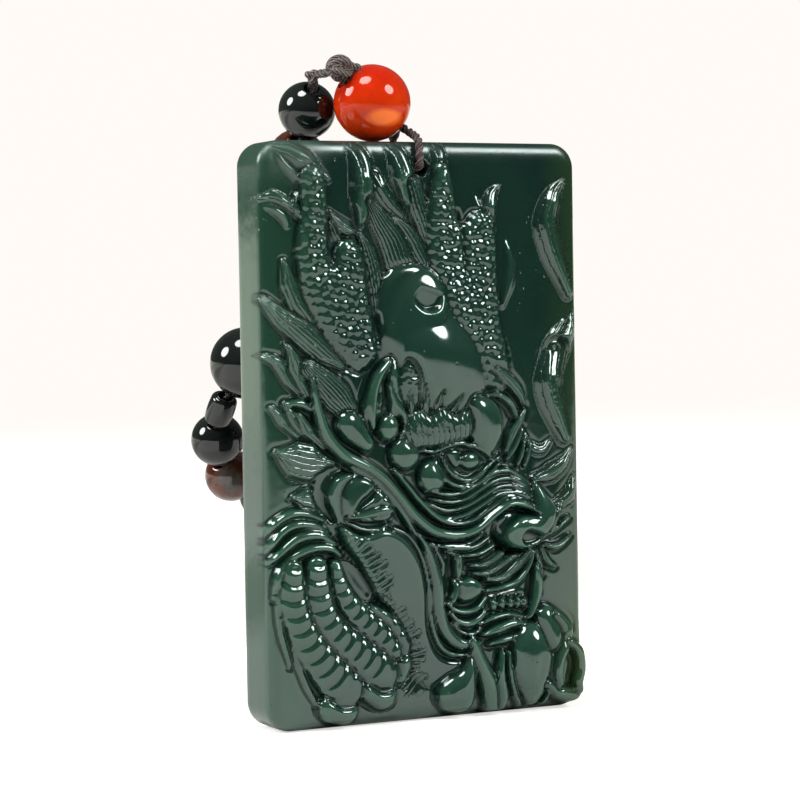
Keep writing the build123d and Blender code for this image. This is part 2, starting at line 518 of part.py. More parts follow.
def route_radii(route):
    """The largest arcs that the runs leave room for."""
    radii = []
    for before, corner, after in zip(route, route[1:], route[2:]):
        first, second = Vector(*corner) - Vector(*before), Vector(*after) - Vector(*corner)
        turn = math.radians(first.get_angle(second))
        radii.append(0.45 * min(first.length, second.length) / math.tan(turn / 2))
    return radii


thread_top = small_knot_centre + Vector(0.85, 1.15, -0.4)
thread_end = knot_centre + Vector(0.7, knot_diameter / 2 + 0.4, 0.2)
thread_route = [tuple(thread_top)] + string_route + [tuple(thread_end)]
thread_radii = route_radii(thread_route)
thread_path = FilletPolyline(*thread_route, radius=thread_radii)


def on_thread(distance):
    return thread_path.position_at(distance / thread_path.length)


def drilled_ball(diameter):
    return Sphere(diameter / 2) - Cylinder(bead_bore / 2, 2 * diameter)


def drilled_barrel():
    body = fillet(Cylinder(barrel_diameter / 2, barrel_length).edges(), barrel_rounding)
    return body - Cylinder(bead_bore / 2, 2 * barrel_length)


bead_shapes = {
    "black": (drilled_ball(black_bead_diameter), black_bead_diameter),
    "small black": (drilled_ball(small_bead_diameter), small_bead_diameter),
    "agate": (drilled_ball(small_bead_diameter), small_bead_diameter),
    "barrel": (drilled_barrel(), barrel_length),
}


def seat(start, length):
    """Where a bead sits whose bore begins at a distance along the thread, and its axis."""
    before, middle, after = (on_thread(start + share * length) for share in (0, 0.5, 1))
    return (before + after) * 0.25 + middle * 0.5, after - before


def threaded_beads():
    """Every bead of the string in its order, as its kind and its solid."""
    beads = []
    start, turn = first_bead_start, first_in_order
    last_kind, last_length, last_centre = "", 0, Vector(0, 0, -plaque_height)
    while True:
        kind = bead_order[turn % len(bead_order)]
        shape, length = bead_shapes[kind]
        gap = barrel_gap if "barrel" in (kind, last_kind) else bead_gap
        centre, axis = seat(start, length)
        while (centre - last_centre).length < (length + last_length) / 2 + gap:
            start += bead_step
            centre, axis = seat(start, length)
        if start + length > thread_path.length - bare_thread_end:
            return beads
        beads.append((kind, Plane(origin=centre, z_dir=axis) * shape))
        last_kind, last_length, last_centre = kind, length, centre
        start += length
        turn += 1


# The pieces and their files

beads = threaded_beads()
own_nodes = {0: "first_black_bead", 6: "side_black_bead", 7: "side_barrel_bead", 8: "side_small_bead",
             9: "side_agate_bead"}
agate_beads = [shape for i, (kind, shape) in enumerate(beads) if kind == "agate" and i not in own_nodes]
black_beads = [shape for i, (kind, shape) in enumerate(beads) if kind != "agate" and i not in own_nodes]

nodes = {
    "plaque": make_plaque(),
    "hanging_cord": make_hanging_cord(),
    "red_bead": make_red_bead(),
    "wrapped_knot": make_wrapped_knot(),
    "small_knot": make_small_knot(),
    "bead_thread": tube(thread_route, thread_radii, thread_diameter),
    "black_beads": Compound(children=black_beads),
    "agate_beads": Compound(children=agate_beads),
}
for place, name in own_nodes.items():
    nodes[name] = beads[place][1]

os.makedirs("parts", exist_ok=True)
for name, shape in nodes.items():
    export_step(shape, f"parts/{name}.step")
print("thread length", round(thread_path.length, 1), "beads", len(beads))
print("thread radii", [round(radius, 1) for radius in thread_radii])
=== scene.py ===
import bmesh
import bpy
import math
from collections import namedtuple
import numpy as np
from mathutils import Matrix, Vector


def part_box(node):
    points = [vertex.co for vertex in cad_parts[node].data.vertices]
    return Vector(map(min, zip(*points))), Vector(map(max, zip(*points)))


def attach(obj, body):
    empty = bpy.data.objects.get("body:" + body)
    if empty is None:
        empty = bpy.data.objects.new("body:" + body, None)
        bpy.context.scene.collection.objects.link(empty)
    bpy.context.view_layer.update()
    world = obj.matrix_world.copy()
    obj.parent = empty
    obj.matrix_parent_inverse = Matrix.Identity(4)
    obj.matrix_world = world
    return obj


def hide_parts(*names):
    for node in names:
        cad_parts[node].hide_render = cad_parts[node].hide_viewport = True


# A carved jade plaque with a dragon's head in relief, standing on its edge, with
# the string of stone beads that it hangs from laid behind it. The carving, the
# beads and the cords are worked here in millimetres and put in place in metres.

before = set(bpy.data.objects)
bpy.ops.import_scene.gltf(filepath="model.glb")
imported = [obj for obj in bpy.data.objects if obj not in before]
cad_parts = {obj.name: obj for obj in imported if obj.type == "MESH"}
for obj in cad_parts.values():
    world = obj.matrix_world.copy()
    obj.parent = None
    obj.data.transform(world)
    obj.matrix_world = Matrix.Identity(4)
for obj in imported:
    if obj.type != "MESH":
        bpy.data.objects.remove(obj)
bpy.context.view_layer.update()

MM = 0.001


# Named sizes, in millimetres

plaque_low, plaque_high = (np.array(corner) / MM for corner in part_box("plaque"))
plaque_width = plaque_high[0] - plaque_low[0]
plaque_height = plaque_high[2] - plaque_low[2]
wall_thickness = 5.0
corner_radius = 2.6
front_rise = 1.3          # from the side wall's front edge to the carving's ground
front_rounding = 1.7
back_rounding = 0.6
relief_depth = 1.6        # unit of the carving table's level and rise
relief_fade = 0.7         # strip at the outline in which the carving dies out
cells_across = 232
cells_up = 390
hole_radius = 0.8
hole_across = 49.5        # percent of the width
hole_below_top = 2.7
cord_diameter = 1.0
bead_bore = 1.6
red_bead_bore = 2.1
red_bore_tilt = 38.5      # degrees that the red bead's bore drops to the right
thread_diameter = 0.7


# The carving

Swell = namedtuple("Swell", "name across up reach_across reach_up rise")
SWELLS = [
    Swell("head", 58, 60, 30, 27, 34),
    Swell("forehead", 53, 67, 19, 14, 26),
    Swell("muzzle", 66, 37, 24, 11, 26),
    Swell("nose", 82, 33, 15, 10, 26),
    Swell("cheek", 36, 37, 24, 14, 22),
    Swell("jaw", 66, 20, 20, 13, 22),
    Swell("left paw", 20, 18, 22, 17, 30),
    Swell("lower claws", 80, 8, 30, 12, 44),
    Swell("left valley", 4.6, 84, 3.4, 15, -9),
]

# Each form covers those before it. A rib follows its points with a half width at
# each, and a wisp is a rib with a soft, flat section that climbs out of the ground.
# A cut is a groove along its points and a comb is a row of short strokes across
# them. A pillow fills its outline and rounds off over its half width, a hollow is
# its opposite, and a scoop is a facet that faces down. A ball has two half widths.
# A dome has its middle, its reach to the right and its top as points, the power of
# its section as half width, and the slant of its base as pitch. Points are in
# percent of the plaque's width and height, half widths in percent of its width,
# level and rise in percent of the relief's depth. The mark is the carver's finer
# work on the form, with the number of strands or the pitch in millimetres; on a
# leaning form and in a scoop the pitch is the slope.
Form = namedtuple("Form", "name kind points half level rise mark pitch", defaults=("", 0))
FORMS = [Form(*row) for row in (
    # leaves and flames low on the ground
    ("top leaf lower rib", "wisp", [(4.5, 98.5), (7.5, 96), (10.5, 94), (13.5, 92)], (0.6, 1.6, 1.5, 0.8),
     0, 34),
    ("top leaf", "wisp", [(5, 98.8), (8.5, 98), (13, 96.4), (16.8, 94.8), (20.5, 93.2)],
     (1.2, 3.0, 3.6, 2.8, 0.8), 3, 60, "strands", 2),
    ("side leaf", "wisp", [(0.8, 90.2), (4, 90.4), (7.5, 89.2), (11, 87.6)], (1.0, 1.9, 1.8, 0.7), 3, 46,
     "strands", 2),
    ("side leaf rib", "wisp", [(1, 89), (4, 88.3), (6.5, 87.2), (8, 85.4)], (0.5, 1.3, 1.4, 0.5), 0, 36),
    ("side leaf hook", "rib", [(11, 91), (10.2, 89.6), (10.6, 88), (11.4, 86.6)], (0.4, 0.7, 0.8, 0.4), 8,
     34),
    ("flame", "wisp", [(95.5, 93.4), (91.6, 90.4), (89.4, 86), (91.5, 80.5), (96.3, 73.4)],
     (0.8, 3.4, 4.4, 4.2, 2.0), 0, 66, "strands", 4),
    ("small flame", "wisp", [(74.6, 92.4), (71.8, 90.8), (70.6, 88), (71, 85)], (0.5, 2.2, 2.8, 2.2), 2,
     60, "strands", 2),
    ("small flame spur", "wisp", [(66.6, 90.5), (67.4, 88.6), (69, 86.4)], (0.4, 1.6, 1.6), 4, 30),
    ("spur", "wisp", [(76, 83), (77.4, 79.6), (76.8, 75.5), (74.5, 71.5)], (0.8, 2.0, 2.4, 1.0), 0, 24),
    ("big flame top", "wisp", [(99.4, 70.5), (97, 67.2), (94, 64.6), (91, 61.5)], (1.0, 2.4, 4.0, 4.8), 0,
     70, "strands", 3),
    ("big flame tuft", "wisp", [(95, 68.6), (92, 66.8), (89.4, 64.4), (88.4, 62)], (0.4, 1.5, 1.9, 1.6),
     10, 44, "strands", 2),
    ("big flame", "wisp", [(92, 63.5), (89.6, 58.5), (90.8, 54), (94.3, 48)], (4.2, 5.0, 4.4, 2.2), 4, 66,
     "strands", 4),
    ("low flame", "wisp", [(97, 46), (93.5, 43.4), (89.5, 41.8), (84, 40.8)], (0.5, 2.4, 3.0, 1.6), 6, 44,
     "strands", 3),
    ("cheek leaf", "wisp", [(98, 41), (96, 37.8), (92.5, 36.4), (89, 36)], (1.0, 2.6, 2.2, 1.0), 2, 34,
     "strands", 3),
    ("purple leaf", "wisp", [(90, 47.5), (87, 46), (84, 46.4), (81.5, 48.4)], (0.8, 1.7, 1.7, 0.8), 2, 28,
     "strands", 2),
    # mane between the antlers
    ("mane one", "wisp", [(28.4, 99.2), (30.4, 96.4), (31, 93), (30.6, 89), (29.8, 86)],
     (2.6, 4.2, 4.6, 3.8, 1.2), 2, 84, "strands", 2),
    ("mane two", "wisp", [(40.4, 99.2), (42.4, 96.8), (43.8, 93.6), (44, 89.6)], (2.6, 4.0, 4.2, 2.4), 2,
     84, "strands", 2),
    ("mane three", "wisp", [(54, 99.4), (55, 97.8), (54.6, 95), (52.5, 91)], (2.0, 2.8, 2.6, 1.0), 2, 60,
     "strands", 2),
    ("mane ground lock", "wisp", [(35, 94), (38, 90.5), (41.5, 88), (44, 86.5)], (2.2, 2.8, 2.6, 1.0), 4,
     28, "strands", 3),
    ("hair beside antler", "rib", [(20.6, 87.6), (23.5, 85.8), (26, 84.8), (28.4, 84.4)],
     (0.6, 1.8, 2.0, 0.6), 4, 36, "strands", 3),
    ("hair behind antler", "rib", [(21, 86), (22.5, 84), (24, 82.2)], (0.8, 1.5, 0.8), 2, 26, "strands", 2),
    ("mane comb left", "rib", [(32.5, 89.5), (36.5, 86), (40.4, 82.6), (42.6, 78.8)],
     (1.6, 3.6, 4.8, 5.0), 6, 42, "strands", 8),
    ("mane comb right", "rib", [(46.5, 92.5), (48.5, 88.6), (51, 84.6), (53.2, 80.4)],
     (2.6, 3.2, 3.0, 1.4), 6, 42, "strands", 5),
    ("mane comb middle", "rib", [(40, 87), (44.5, 84.6), (47.6, 81.6), (50, 78.6)], (0.8, 2.2, 2.6, 2.0),
     4, 34, "strands", 4),
    ("antler hair", "rib", [(29.8, 84), (32.6, 80.5), (34.4, 76), (34.8, 71)], (1.0, 2.5, 2.7, 1.4), 4,
     38, "strands", 5),
    # locks at the left edge
    ("lock one", "rib", [(6.5, 79.5), (8.2, 75.5), (11, 71.8), (16, 68)], (0.8, 2.8, 3.4, 1.2), 4, 42,
     "strands", 4),
    ("lock by antler", "rib", [(10.5, 80.5), (12, 77.2), (14, 73.6), (17, 70)], (0.6, 1.3, 1.6, 0.8), 8,
     38, "strands", 2),
    ("lock two", "rib", [(0.5, 73.5), (5, 70.4), (11.5, 67.4), (18, 64), (23.5, 61.6)],
     (0.9, 2.8, 3.9, 3.6, 1.2), 8, 48, "strands", 6),
    ("lock three", "rib", [(0.6, 63.8), (4.4, 62.4), (7.4, 59.4), (11.5, 56.6)], (0.7, 1.9, 1.7, 0.8), 4,
     40, "strands", 2),
    ("lock four", "rib", [(7.2, 65.4), (9.6, 61.8), (12.6, 57.2)], (0.8, 2.8, 1.6), 8, 50, "strands", 3),
    ("fin one", "rib", [(2.2, 55), (5.4, 52.8), (9.8, 50)], (0.6, 1.9, 0.9), 2, 38, "strands", 2),
    ("fin two", "rib", [(6, 55.4), (8.8, 53), (12, 50)], (0.8, 2.1, 1.0), 6, 42, "strands", 2),
    ("fin three", "rib", [(6.6, 55.6), (10.5, 55.6), (14, 54.6)], (0.8, 1.6, 1.2), 10, 36),
    ("fin four", "rib", [(10, 53.8), (12.8, 51), (17.5, 48)], (1.0, 2.2, 1.0), 8, 44, "strands", 2),
    ("shell leaf", "rib", [(3.4, 47.6), (8.2, 46.4), (13.5, 45.6), (20.5, 45.2)], (0.9, 5.2, 5.4, 0.9), 6,
     52, "strands", 6),
    ("lower shell", "rib", [(8, 39.8), (11.5, 39.4), (16.5, 38.4)], (0.8, 3.8, 2.4), 4, 44, "strands", 4),
    # antlers
    ("left antler", "pillow", [(11.6, 94.4), (15, 95.8), (18.4, 94.6), (19.6, 89.7), (19.6, 84),
     (20.8, 79.4), (22.4, 82.4), (26.7, 83.4), (30.4, 80.8), (32, 74.5), (34.2, 67.7), (35.2, 63.5),
     (31, 61), (27, 60.8), (21, 64.4), (15.2, 69.6), (11.4, 74.7), (10.2, 81.4), (11.4, 88)], (4.2,), 10,
     56, "scales", 0.95),
    ("right antler", "pillow", [(53.6, 95.4), (55.6, 96.2), (57.6, 95.4), (59.4, 89.8), (60, 87),
     (62.6, 86), (65, 87.6), (68.6, 88), (72, 86), (72.8, 79.4), (73.2, 72.5), (74.2, 67.2), (76.4, 62),
     (77, 57.6), (73, 56), (69, 57), (65.3, 60.8), (59, 66), (55.3, 70.9), (51.6, 75), (50.4, 81.2),
     (50.6, 88.1)], (4.2,), 10, 56, "scales", 0.95),
    ("antler cleft", "hollow", [(60.2, 88), (62, 87.6), (62.4, 83), (62.8, 77), (61.6, 77.4), (60.6, 82)],
     (1.2,), 0, 34),
    # forehead
    ("forehead bed", "pillow", [(34.6, 72), (36.4, 76.4), (40, 78.4), (46, 79), (51.3, 77.8), (54.8, 75),
     (56.4, 71.6), (59, 68.8), (63.4, 65.4), (66.4, 60.4), (64.4, 56.6), (59, 55), (52.3, 54.5),
     (46.6, 57), (42, 61.2), (38, 64.6), (35.4, 67.8)], (3.2,), 14, 40),
    ("forehead knob", "dome", [(45.6, 69.5), (56.4, 69.5), (45.6, 78.6)], (3,), 6, 79, "", 0.4),
    ("forehead dome", "dome", [(51.6, 62), (68.8, 62), (51.6, 72)], (1.1,), 12, 104, "", -0.3),
    ("forehead curl", "scoop", [(45.4, 75.2), (43.8, 73.6), (44.4, 71.8), (48, 70.4), (52.4, 71),
     (54.8, 73.4)], (1.4,), 90, 0, "", 0.1),
    # comb of hair and the balls behind the eye
    ("comb", "rib", [(13.2, 61.4), (17.5, 59), (21.5, 56.6), (24.6, 54.2)], (3.0, 4.6, 5.0, 3.6), 10, 54,
     "strands", 9),
    ("temple ball", "rib", [(25, 51.8), (27, 50.6), (30, 48.4)], (4.2, 4.4, 2.6), 10, 74),
    ("ear", "pillow", [(37.6, 63.4), (33.4, 61), (30.2, 57), (29, 53.4), (32, 50.4), (34.6, 53),
     (38.2, 52), (42.4, 54), (41.4, 59), (40, 62)], (3.4,), 14, 62),
    ("ear hollow", "rib", [(36.4, 60.6), (35.8, 57.4), (36.2, 53.6)], (0.6, 1.7, 1.4), 34, -24),
    ("ear inner rib", "rib", [(37.2, 61.8), (35, 58.6), (34.8, 55)], (0.4, 0.5, 0.4), 50, 18),
    ("ear left lobe", "rib", [(37.4, 62.4), (33.6, 59.4), (31.8, 55.4), (32, 51)], (0.6, 1.5, 1.8, 0.8),
     36, 42),
    ("ear right lobe", "rib", [(37, 58.6), (38.6, 55.4), (41.8, 52.8), (42.6, 50.8), (40.6, 49.6)],
     (0.5, 1.1, 1.3, 1.2, 0.7), 40, 34),
    ("scaly cheek", "pillow", [(42, 62.8), (40.2, 60), (40.4, 57), (42.6, 54.6), (44.2, 52.8), (46.4, 55),
     (46.6, 59), (44.6, 62)], (2.2,), 24, 40, "scales", 0.6),
    ("first ball", "ball", [(36.8, 51)], (3.3, 4.0), 22, 72),
    ("second ball", "ball", [(41.8, 46.5)], (4.9, 4.9), 18, 74),
    ("third ball", "ball", [(50.3, 42.2)], (4.5, 5.0), 18, 72),
    ("big ball", "pillow", [(62, 55), (64.8, 56.2), (69, 55.6), (72.4, 53.6), (73.6, 50), (71.6, 47),
     (68.4, 45), (65.4, 45.8), (62.8, 48), (61.6, 51.4)], (6.5,), 18, 84),
    ("ball hair one", "rib", [(71.5, 60.4), (75, 58.8), (78.6, 56.6), (80.6, 54)], (0.8, 1.9, 1.9, 0.7),
     16, 46, "strands", 3),
    ("ball hair two", "rib", [(68.6, 56), (72.4, 55.8), (76, 54.4), (78.4, 51.6)], (0.4, 1.0, 1.2, 0.6),
     24, 46, "strands", 2),
    ("ball hair three", "rib", [(81.2, 53.4), (78.8, 51), (76.4, 48.6), (74.6, 46)], (0.5, 1.4, 1.8, 0.8),
     14, 44, "strands", 2),
    ("lash one", "rib", [(80.8, 47.8), (79.8, 45.6), (78.4, 43.4)], (0.5, 1.0, 0.5), 8, 44),
    ("lash two", "rib", [(83, 47.4), (82, 45.4), (80.8, 43.2)], (0.4, 0.9, 0.5), 6, 40),
    ("lash three", "rib", [(80.2, 50), (77.6, 47), (74.8, 44.6)], (0.5, 1.1, 0.6), 12, 44),
    # brow and eye
    ("brow point one", "rib", [(44.4, 51.6), (43.9, 54.4), (43.2, 57)], (1.5, 1.1, 0.3), 22, 44,
     "strands", 2),
    ("brow point two", "rib", [(48, 51.6), (48, 55), (47.6, 58.2)], (1.7, 1.2, 0.3), 24, 46, "strands", 2),
    ("brow point three", "rib", [(52, 52), (52, 54.6), (53.2, 57)], (1.7, 1.2, 0.3), 24, 46, "strands", 2),
    ("brow point four", "rib", [(55.6, 52), (57, 54), (59.6, 56)], (1.6, 1.2, 0.3), 22, 44, "strands", 2),
    ("brow", "pillow", [(41.8, 50), (42.8, 52.8), (46, 54), (49.6, 53), (53, 54.4), (57.4, 53),
     (61.6, 53.8), (63.4, 51), (61.6, 48.4), (57, 47.8), (51, 47.2), (45.6, 47.2), (42.6, 48.4)], (3.4,),
     30, 54, "upright", 0.62),
    ("eye socket", "pillow", [(50, 46.4), (55, 47.2), (60, 47.4), (65.5, 46.4), (70, 44.6), (66, 42.6),
     (61, 41.2), (56, 42), (52.6, 44)], (1.6,), 34, -16),
    ("eyelid upper", "rib", [(47, 46.8), (51, 46.6), (56, 47.5), (61, 47.7), (66, 46.4), (70.5, 44.4)],
     (0.5, 0.6, 0.7, 0.7, 0.6, 0.3), 44, 20),
    ("eyeball", "ball", [(62.2, 44.7)], (3.3, 2.6), 30, 38),
    ("eye white", "pillow", [(55, 46.4), (58.6, 46.8), (59.4, 44.6), (58, 43.4), (56, 44.6)], (1.2,), 28,
     16),
    ("eyelid lower", "rib", [(53.4, 46.4), (55, 43.6), (58.2, 41.8), (62, 41.3), (65.8, 42.4), (69, 44),
     (73, 45.2)], (0.3, 0.6, 0.7, 0.7, 0.7, 0.5, 0.3), 42, 20),
    ("eye bag", "rib", [(51.2, 45.6), (53, 42.8), (56.4, 40.8), (61, 40.2), (65.6, 40.9), (69.6, 42.8),
     (73, 44.4)], (0.3, 0.8, 0.9, 0.9, 0.9, 0.7, 0.3), 38, 24),
    # hollow ear shell behind the jaw
    ("jaw shell bed", "pillow", [(27.7, 44.3), (22.9, 45), (18.2, 44.7), (15.1, 43.2), (13.9, 40.8),
     (14.6, 38.5), (17, 36.5), (19.8, 35.2), (23.4, 34.3), (28.1, 33.6), (32.7, 33.4), (37.5, 34.6),
     (39, 36.8), (37.5, 39.3), (34.4, 41.6), (31.2, 43.2)], (2.2,), 24, 26, "leaning", 0.07),
    ("jaw shell crescent", "cut", [(28.4, 43.6), (24.6, 44.2), (19.8, 43.8), (17, 42.4), (15.8, 40.6),
     (16.4, 38.6), (18.4, 36.9), (20.2, 35.4)], (0.4, 1.3, 2.2, 2.8, 2.8, 2.2, 1.5, 0.5), 0, 66),
    ("jaw shell leaf", "pillow", [(28.6, 43.2), (24.6, 42.4), (22.4, 40.5), (22.1, 38.4), (22.8, 36.3),
     (26.2, 35.4), (30.9, 35), (35.6, 35.1), (38, 36.8), (37, 39), (34, 41.3), (31.2, 42.8)], (2.6,), 30,
     46),
    ("jaw shell groove", "cut", [(33.6, 41.6), (30.8, 39.6), (28.2, 38.4), (25.8, 37)],
     (0.6, 1.2, 1.2, 0.5), 0, 44),
    ("jaw shell fold", "rib", [(34.6, 40), (32.4, 38.2), (30, 37.1), (26.8, 36.4)], (0.4, 0.8, 0.8, 0.4),
     52, 22),
    ("jaw shell lip", "rib", [(24, 35.9), (28.1, 36.2), (31.4, 36.6), (34.7, 37), (37.4, 36.8)],
     (0.4, 1.0, 1.4, 1.3, 0.5), 46, 34),
    ("jaw shell sill", "rib", [(23.4, 35.2), (25.8, 34.4), (28.5, 33.8), (32.7, 33.8), (36.5, 34.6)],
     (0.4, 0.7, 0.8, 0.7, 0.4), 42, 28),
    # smooth neck that meets the paw
    ("neck", "pillow", [(22, 34.4), (28, 33), (35, 33.8), (41, 32), (45.4, 28.2), (48, 22), (48.8, 15.6),
     (52.4, 11.4), (58, 10.2), (64.4, 10.4), (63.6, 8.6), (56, 6.4), (49, 5.6), (44, 8), (42, 13),
     (37.6, 18.6), (32, 22.6), (27, 28), (22.6, 31.6)], (2.2,), 12, 46, "leaning", 0.085),
    ("neck fringe upper", "comb", [(18.6, 32.4), (24.6, 30.2), (27, 27.6), (29.4, 24.6), (32.8, 21)],
     (5.0, 7.4, 8.6, 8.4, 6.6), 0, 0, "", 0.62),
    ("neck fringe lower", "comb", [(33.4, 21.2), (37.3, 17.8), (40.6, 14.2), (42.1, 11), (42.8, 8),
     (46, 5.6)], (5.2, 6.2, 6.6, 6.2, 5.4, 4.6), 0, 0, "", 0.58),
    # muzzle waves
    ("wave one", "rib", [(50, 39.6), (55, 39), (60, 39.3), (65, 40.8), (70, 42.4), (75, 42.6),
     (79.4, 41.2), (82, 39.8)], (0.5, 0.8, 0.8, 0.8, 0.9, 0.9, 0.8, 0.4), 30, 30),
    ("wave two", "rib", [(50, 38.4), (55, 37.7), (60, 38), (65, 39.5), (70, 41), (75, 41.3), (79.4, 40.2),
     (82.4, 38.8)], (0.5, 0.8, 0.8, 0.8, 0.9, 0.9, 0.8, 0.4), 32, 30),
    ("wave three", "rib", [(48, 37.9), (54, 36.3), (60, 36.7), (65.4, 38.2), (70.6, 39.8), (75.4, 40),
     (80, 39), (82.6, 37.8)], (0.5, 0.8, 0.8, 0.8, 0.9, 0.9, 0.8, 0.4), 34, 30),
    ("wave four", "rib", [(44, 38.8), (48.6, 36.7), (54, 35), (60, 35.3), (66, 37), (71, 38.6),
     (76, 38.8), (80.4, 38), (83, 36.8)], (0.4, 0.8, 0.9, 0.9, 0.9, 0.9, 0.9, 0.8, 0.4), 34, 30),
    ("band fringe", "rib", [(38.6, 43.6), (42.4, 40.8), (46.6, 37.8), (51.4, 35.2), (57, 33.9),
     (63, 34.4), (68.6, 36.4), (74, 37.9), (79, 37.4), (83, 35.9)],
     (0.5, 0.9, 1.0, 1.0, 1.0, 1.0, 1.0, 1.0, 0.9, 0.5), 34, 32),
    ("band", "rib", [(13.6, 60), (14.8, 55.8), (17.6, 50.4), (22.6, 46.8), (29, 44.6), (34.4, 42.4),
     (39.6, 38.8), (45, 35.2), (51, 32.7), (58, 31.9), (64, 32.8), (69.4, 35.2), (74.6, 36.9), (80, 36.4),
     (83.4, 35)], (0.5, 1.3, 1.9, 2.0, 1.9, 1.8, 1.8, 1.8, 1.7, 1.6, 1.5, 1.4, 1.2, 1.1, 0.5), 30, 58),
    ("band under", "rib", [(24.6, 44.4), (31, 42.6), (36.6, 39.4), (41, 35.8), (45.6, 32), (50, 30.4),
     (56, 30.2), (62, 30.4), (67, 32.4)], (0.4, 0.8, 0.9, 0.9, 0.9, 0.8, 0.8, 0.7, 0.4), 24, 36),
    # bands round the jaw
    ("jaw band outer", "rib", [(37, 34), (42.4, 32.2), (46.6, 28.6), (48.8, 23.6), (49.4, 18),
     (51.6, 13.4), (56, 11.2), (63.8, 11)], (0.4, 0.9, 0.9, 0.9, 0.9, 0.9, 0.8, 0.4), 28, 34),
    ("jaw band", "rib", [(45.6, 32.6), (49, 29), (51.4, 24.4), (52, 19.4), (54, 15.4), (58.4, 13),
     (64.4, 12.8)], (0.5, 1.6, 2.0, 2.0, 2.1, 2.0, 0.9), 26, 44),
    ("jaw gill", "rib", [(50, 31), (52, 29), (53.6, 26.8), (54, 24.6)], (0.4, 0.9, 0.9, 0.4), 22, 32),
    # mouth
    ("mouth cavity", "pillow", [(55, 28), (60, 28.4), (66, 27.6), (66.6, 24.6), (66, 21.4), (60, 20.6),
     (55, 21), (54, 24.6)], (1.4,), 26, -40),
    ("upper lip one", "rib", [(53, 30), (57.6, 29.5), (63, 29.6), (68.6, 31.2)], (0.5, 0.8, 0.8, 0.4), 30,
     32),
    ("upper lip two", "rib", [(55, 29), (59.6, 28.2), (65, 28.4), (70.4, 29.8)], (0.5, 0.7, 0.8, 0.4), 28,
     32),
    ("upper fang", "rib", [(58.4, 28), (58.4, 26), (58, 23.6)], (1.4, 1.4, 0.5), 14, 44),
    ("cheek fan one", "rib", [(62.4, 26.4), (66.6, 26.4), (71, 27.6), (74.6, 29)], (0.6, 1.2, 1.3, 0.5),
     24, 34, "strands", 3),
    ("cheek fan two", "rib", [(63, 25), (68, 25), (73.6, 26.6), (78.6, 28.4)], (0.6, 1.3, 1.4, 0.5), 26,
     36, "strands", 3),
    ("cheek fan three", "rib", [(67, 23.8), (72, 24), (77.4, 26), (81.6, 28.6)], (0.6, 1.4, 1.8, 0.8), 30,
     40, "strands", 4),
    ("lip ridge", "rib", [(66.6, 21.8), (72, 22.3), (77, 23.2), (80.6, 25.4), (82.6, 28.4)],
     (0.4, 0.9, 1.1, 1.1, 0.6), 30, 42),
    ("tongue", "pillow", [(57.6, 23.6), (60.4, 24.4), (63, 24.4), (66, 23), (65.4, 21.4), (62, 20.2),
     (58.4, 20.4)], (2.0,), 10, 52),
    ("lower fang", "rib", [(56.4, 20.4), (57.4, 22.2), (57, 24)], (1.2, 1.0, 0.4), 12, 40),
    ("lower lip one", "rib", [(54.4, 20.2), (57, 18.8), (60.4, 18.4), (64, 19), (67, 21)],
     (0.4, 0.9, 1.0, 1.0, 0.4), 26, 40),
    ("lower lip two", "rib", [(55, 18.6), (58, 16.8), (61.4, 16.4), (64.8, 17.4), (67.4, 19.8)],
     (0.4, 1.2, 1.4, 1.2, 0.4), 22, 44),
    ("lower lip three", "rib", [(56, 16.6), (59, 14.9), (62.4, 14.5), (65.4, 15.4)], (0.4, 0.8, 0.8, 0.4),
     26, 30),
    ("teeth bed", "pillow", [(67, 20.6), (74, 21.2), (80.6, 21), (80.6, 17.2), (74, 17.4), (67.6, 17)],
     (1.2,), 18, -10),
    ("tooth one", "ball", [(69.4, 19.2)], (1.3, 2.0), 22, 30),
    ("tooth two", "ball", [(72.2, 19.4)], (1.3, 2.0), 22, 30),
    ("tooth three", "ball", [(75, 19.3)], (1.3, 2.0), 22, 30),
    ("tooth four", "ball", [(77.6, 19.4)], (1.2, 2.0), 22, 28),
    ("tooth five", "ball", [(79.8, 19.2)], (1.0, 1.8), 22, 24),
    ("beard one", "rib", [(64.4, 16), (69, 17), (74.4, 17.4), (80, 16.6)], (0.5, 0.9, 0.9, 0.5), 24, 36),
    ("beard two", "rib", [(65.4, 14.2), (70, 15), (75, 15.8), (80.6, 15.6)], (0.6, 1.6, 1.6, 0.7), 24, 44),
    ("beard three", "rib", [(67.4, 12.4), (71.4, 13), (75.4, 13.4), (79, 14)], (0.5, 1.2, 1.3, 0.8), 18,
     38),
    ("tusk", "rib", [(84, 25.4), (84, 21.6), (82.4, 18.4), (80.4, 16.4)], (1.4, 1.9, 1.5, 0.5), 22, 56),
    # nose
    ("nose bridge", "pillow", [(83, 40.4), (87, 38.6), (90.4, 36), (91, 33.4), (88, 31), (84, 29.4),
     (78, 28.6), (73.4, 29.4), (70.6, 32), (72.4, 34.6), (77, 35.6), (82, 35.4)], (5.4,), 26, 80),
    ("nostril", "pillow", [(77.6, 31), (79.6, 32.2), (82.6, 31.8), (85.6, 30.8), (83.4, 29.6),
     (79.4, 29.4)], (1.2,), 84, -60),
    ("nose curl", "cut", [(83.4, 34.6), (79.4, 35.2), (75, 34.4), (71.9, 32.5), (71.8, 30.3),
     (74.6, 28.8), (79, 28.3)], (0.4, 1.0, 1.5, 1.7, 1.6, 1.2, 0.5), 0, 62),
    ("nose tuft one", "rib", [(85.4, 30.2), (90, 31.8), (95.4, 33.8)], (0.5, 1.1, 0.5), 12, 46, "strands",
     2),
    ("nose tuft two", "rib", [(86.4, 29.2), (91, 28.8), (96, 30.6)], (0.5, 1.1, 0.4), 14, 48, "strands", 2),
    ("nose tuft three", "rib", [(85.4, 28.8), (87.6, 26.4), (90.6, 25.2)], (0.6, 1.3, 0.4), 12, 48,
     "strands", 2),
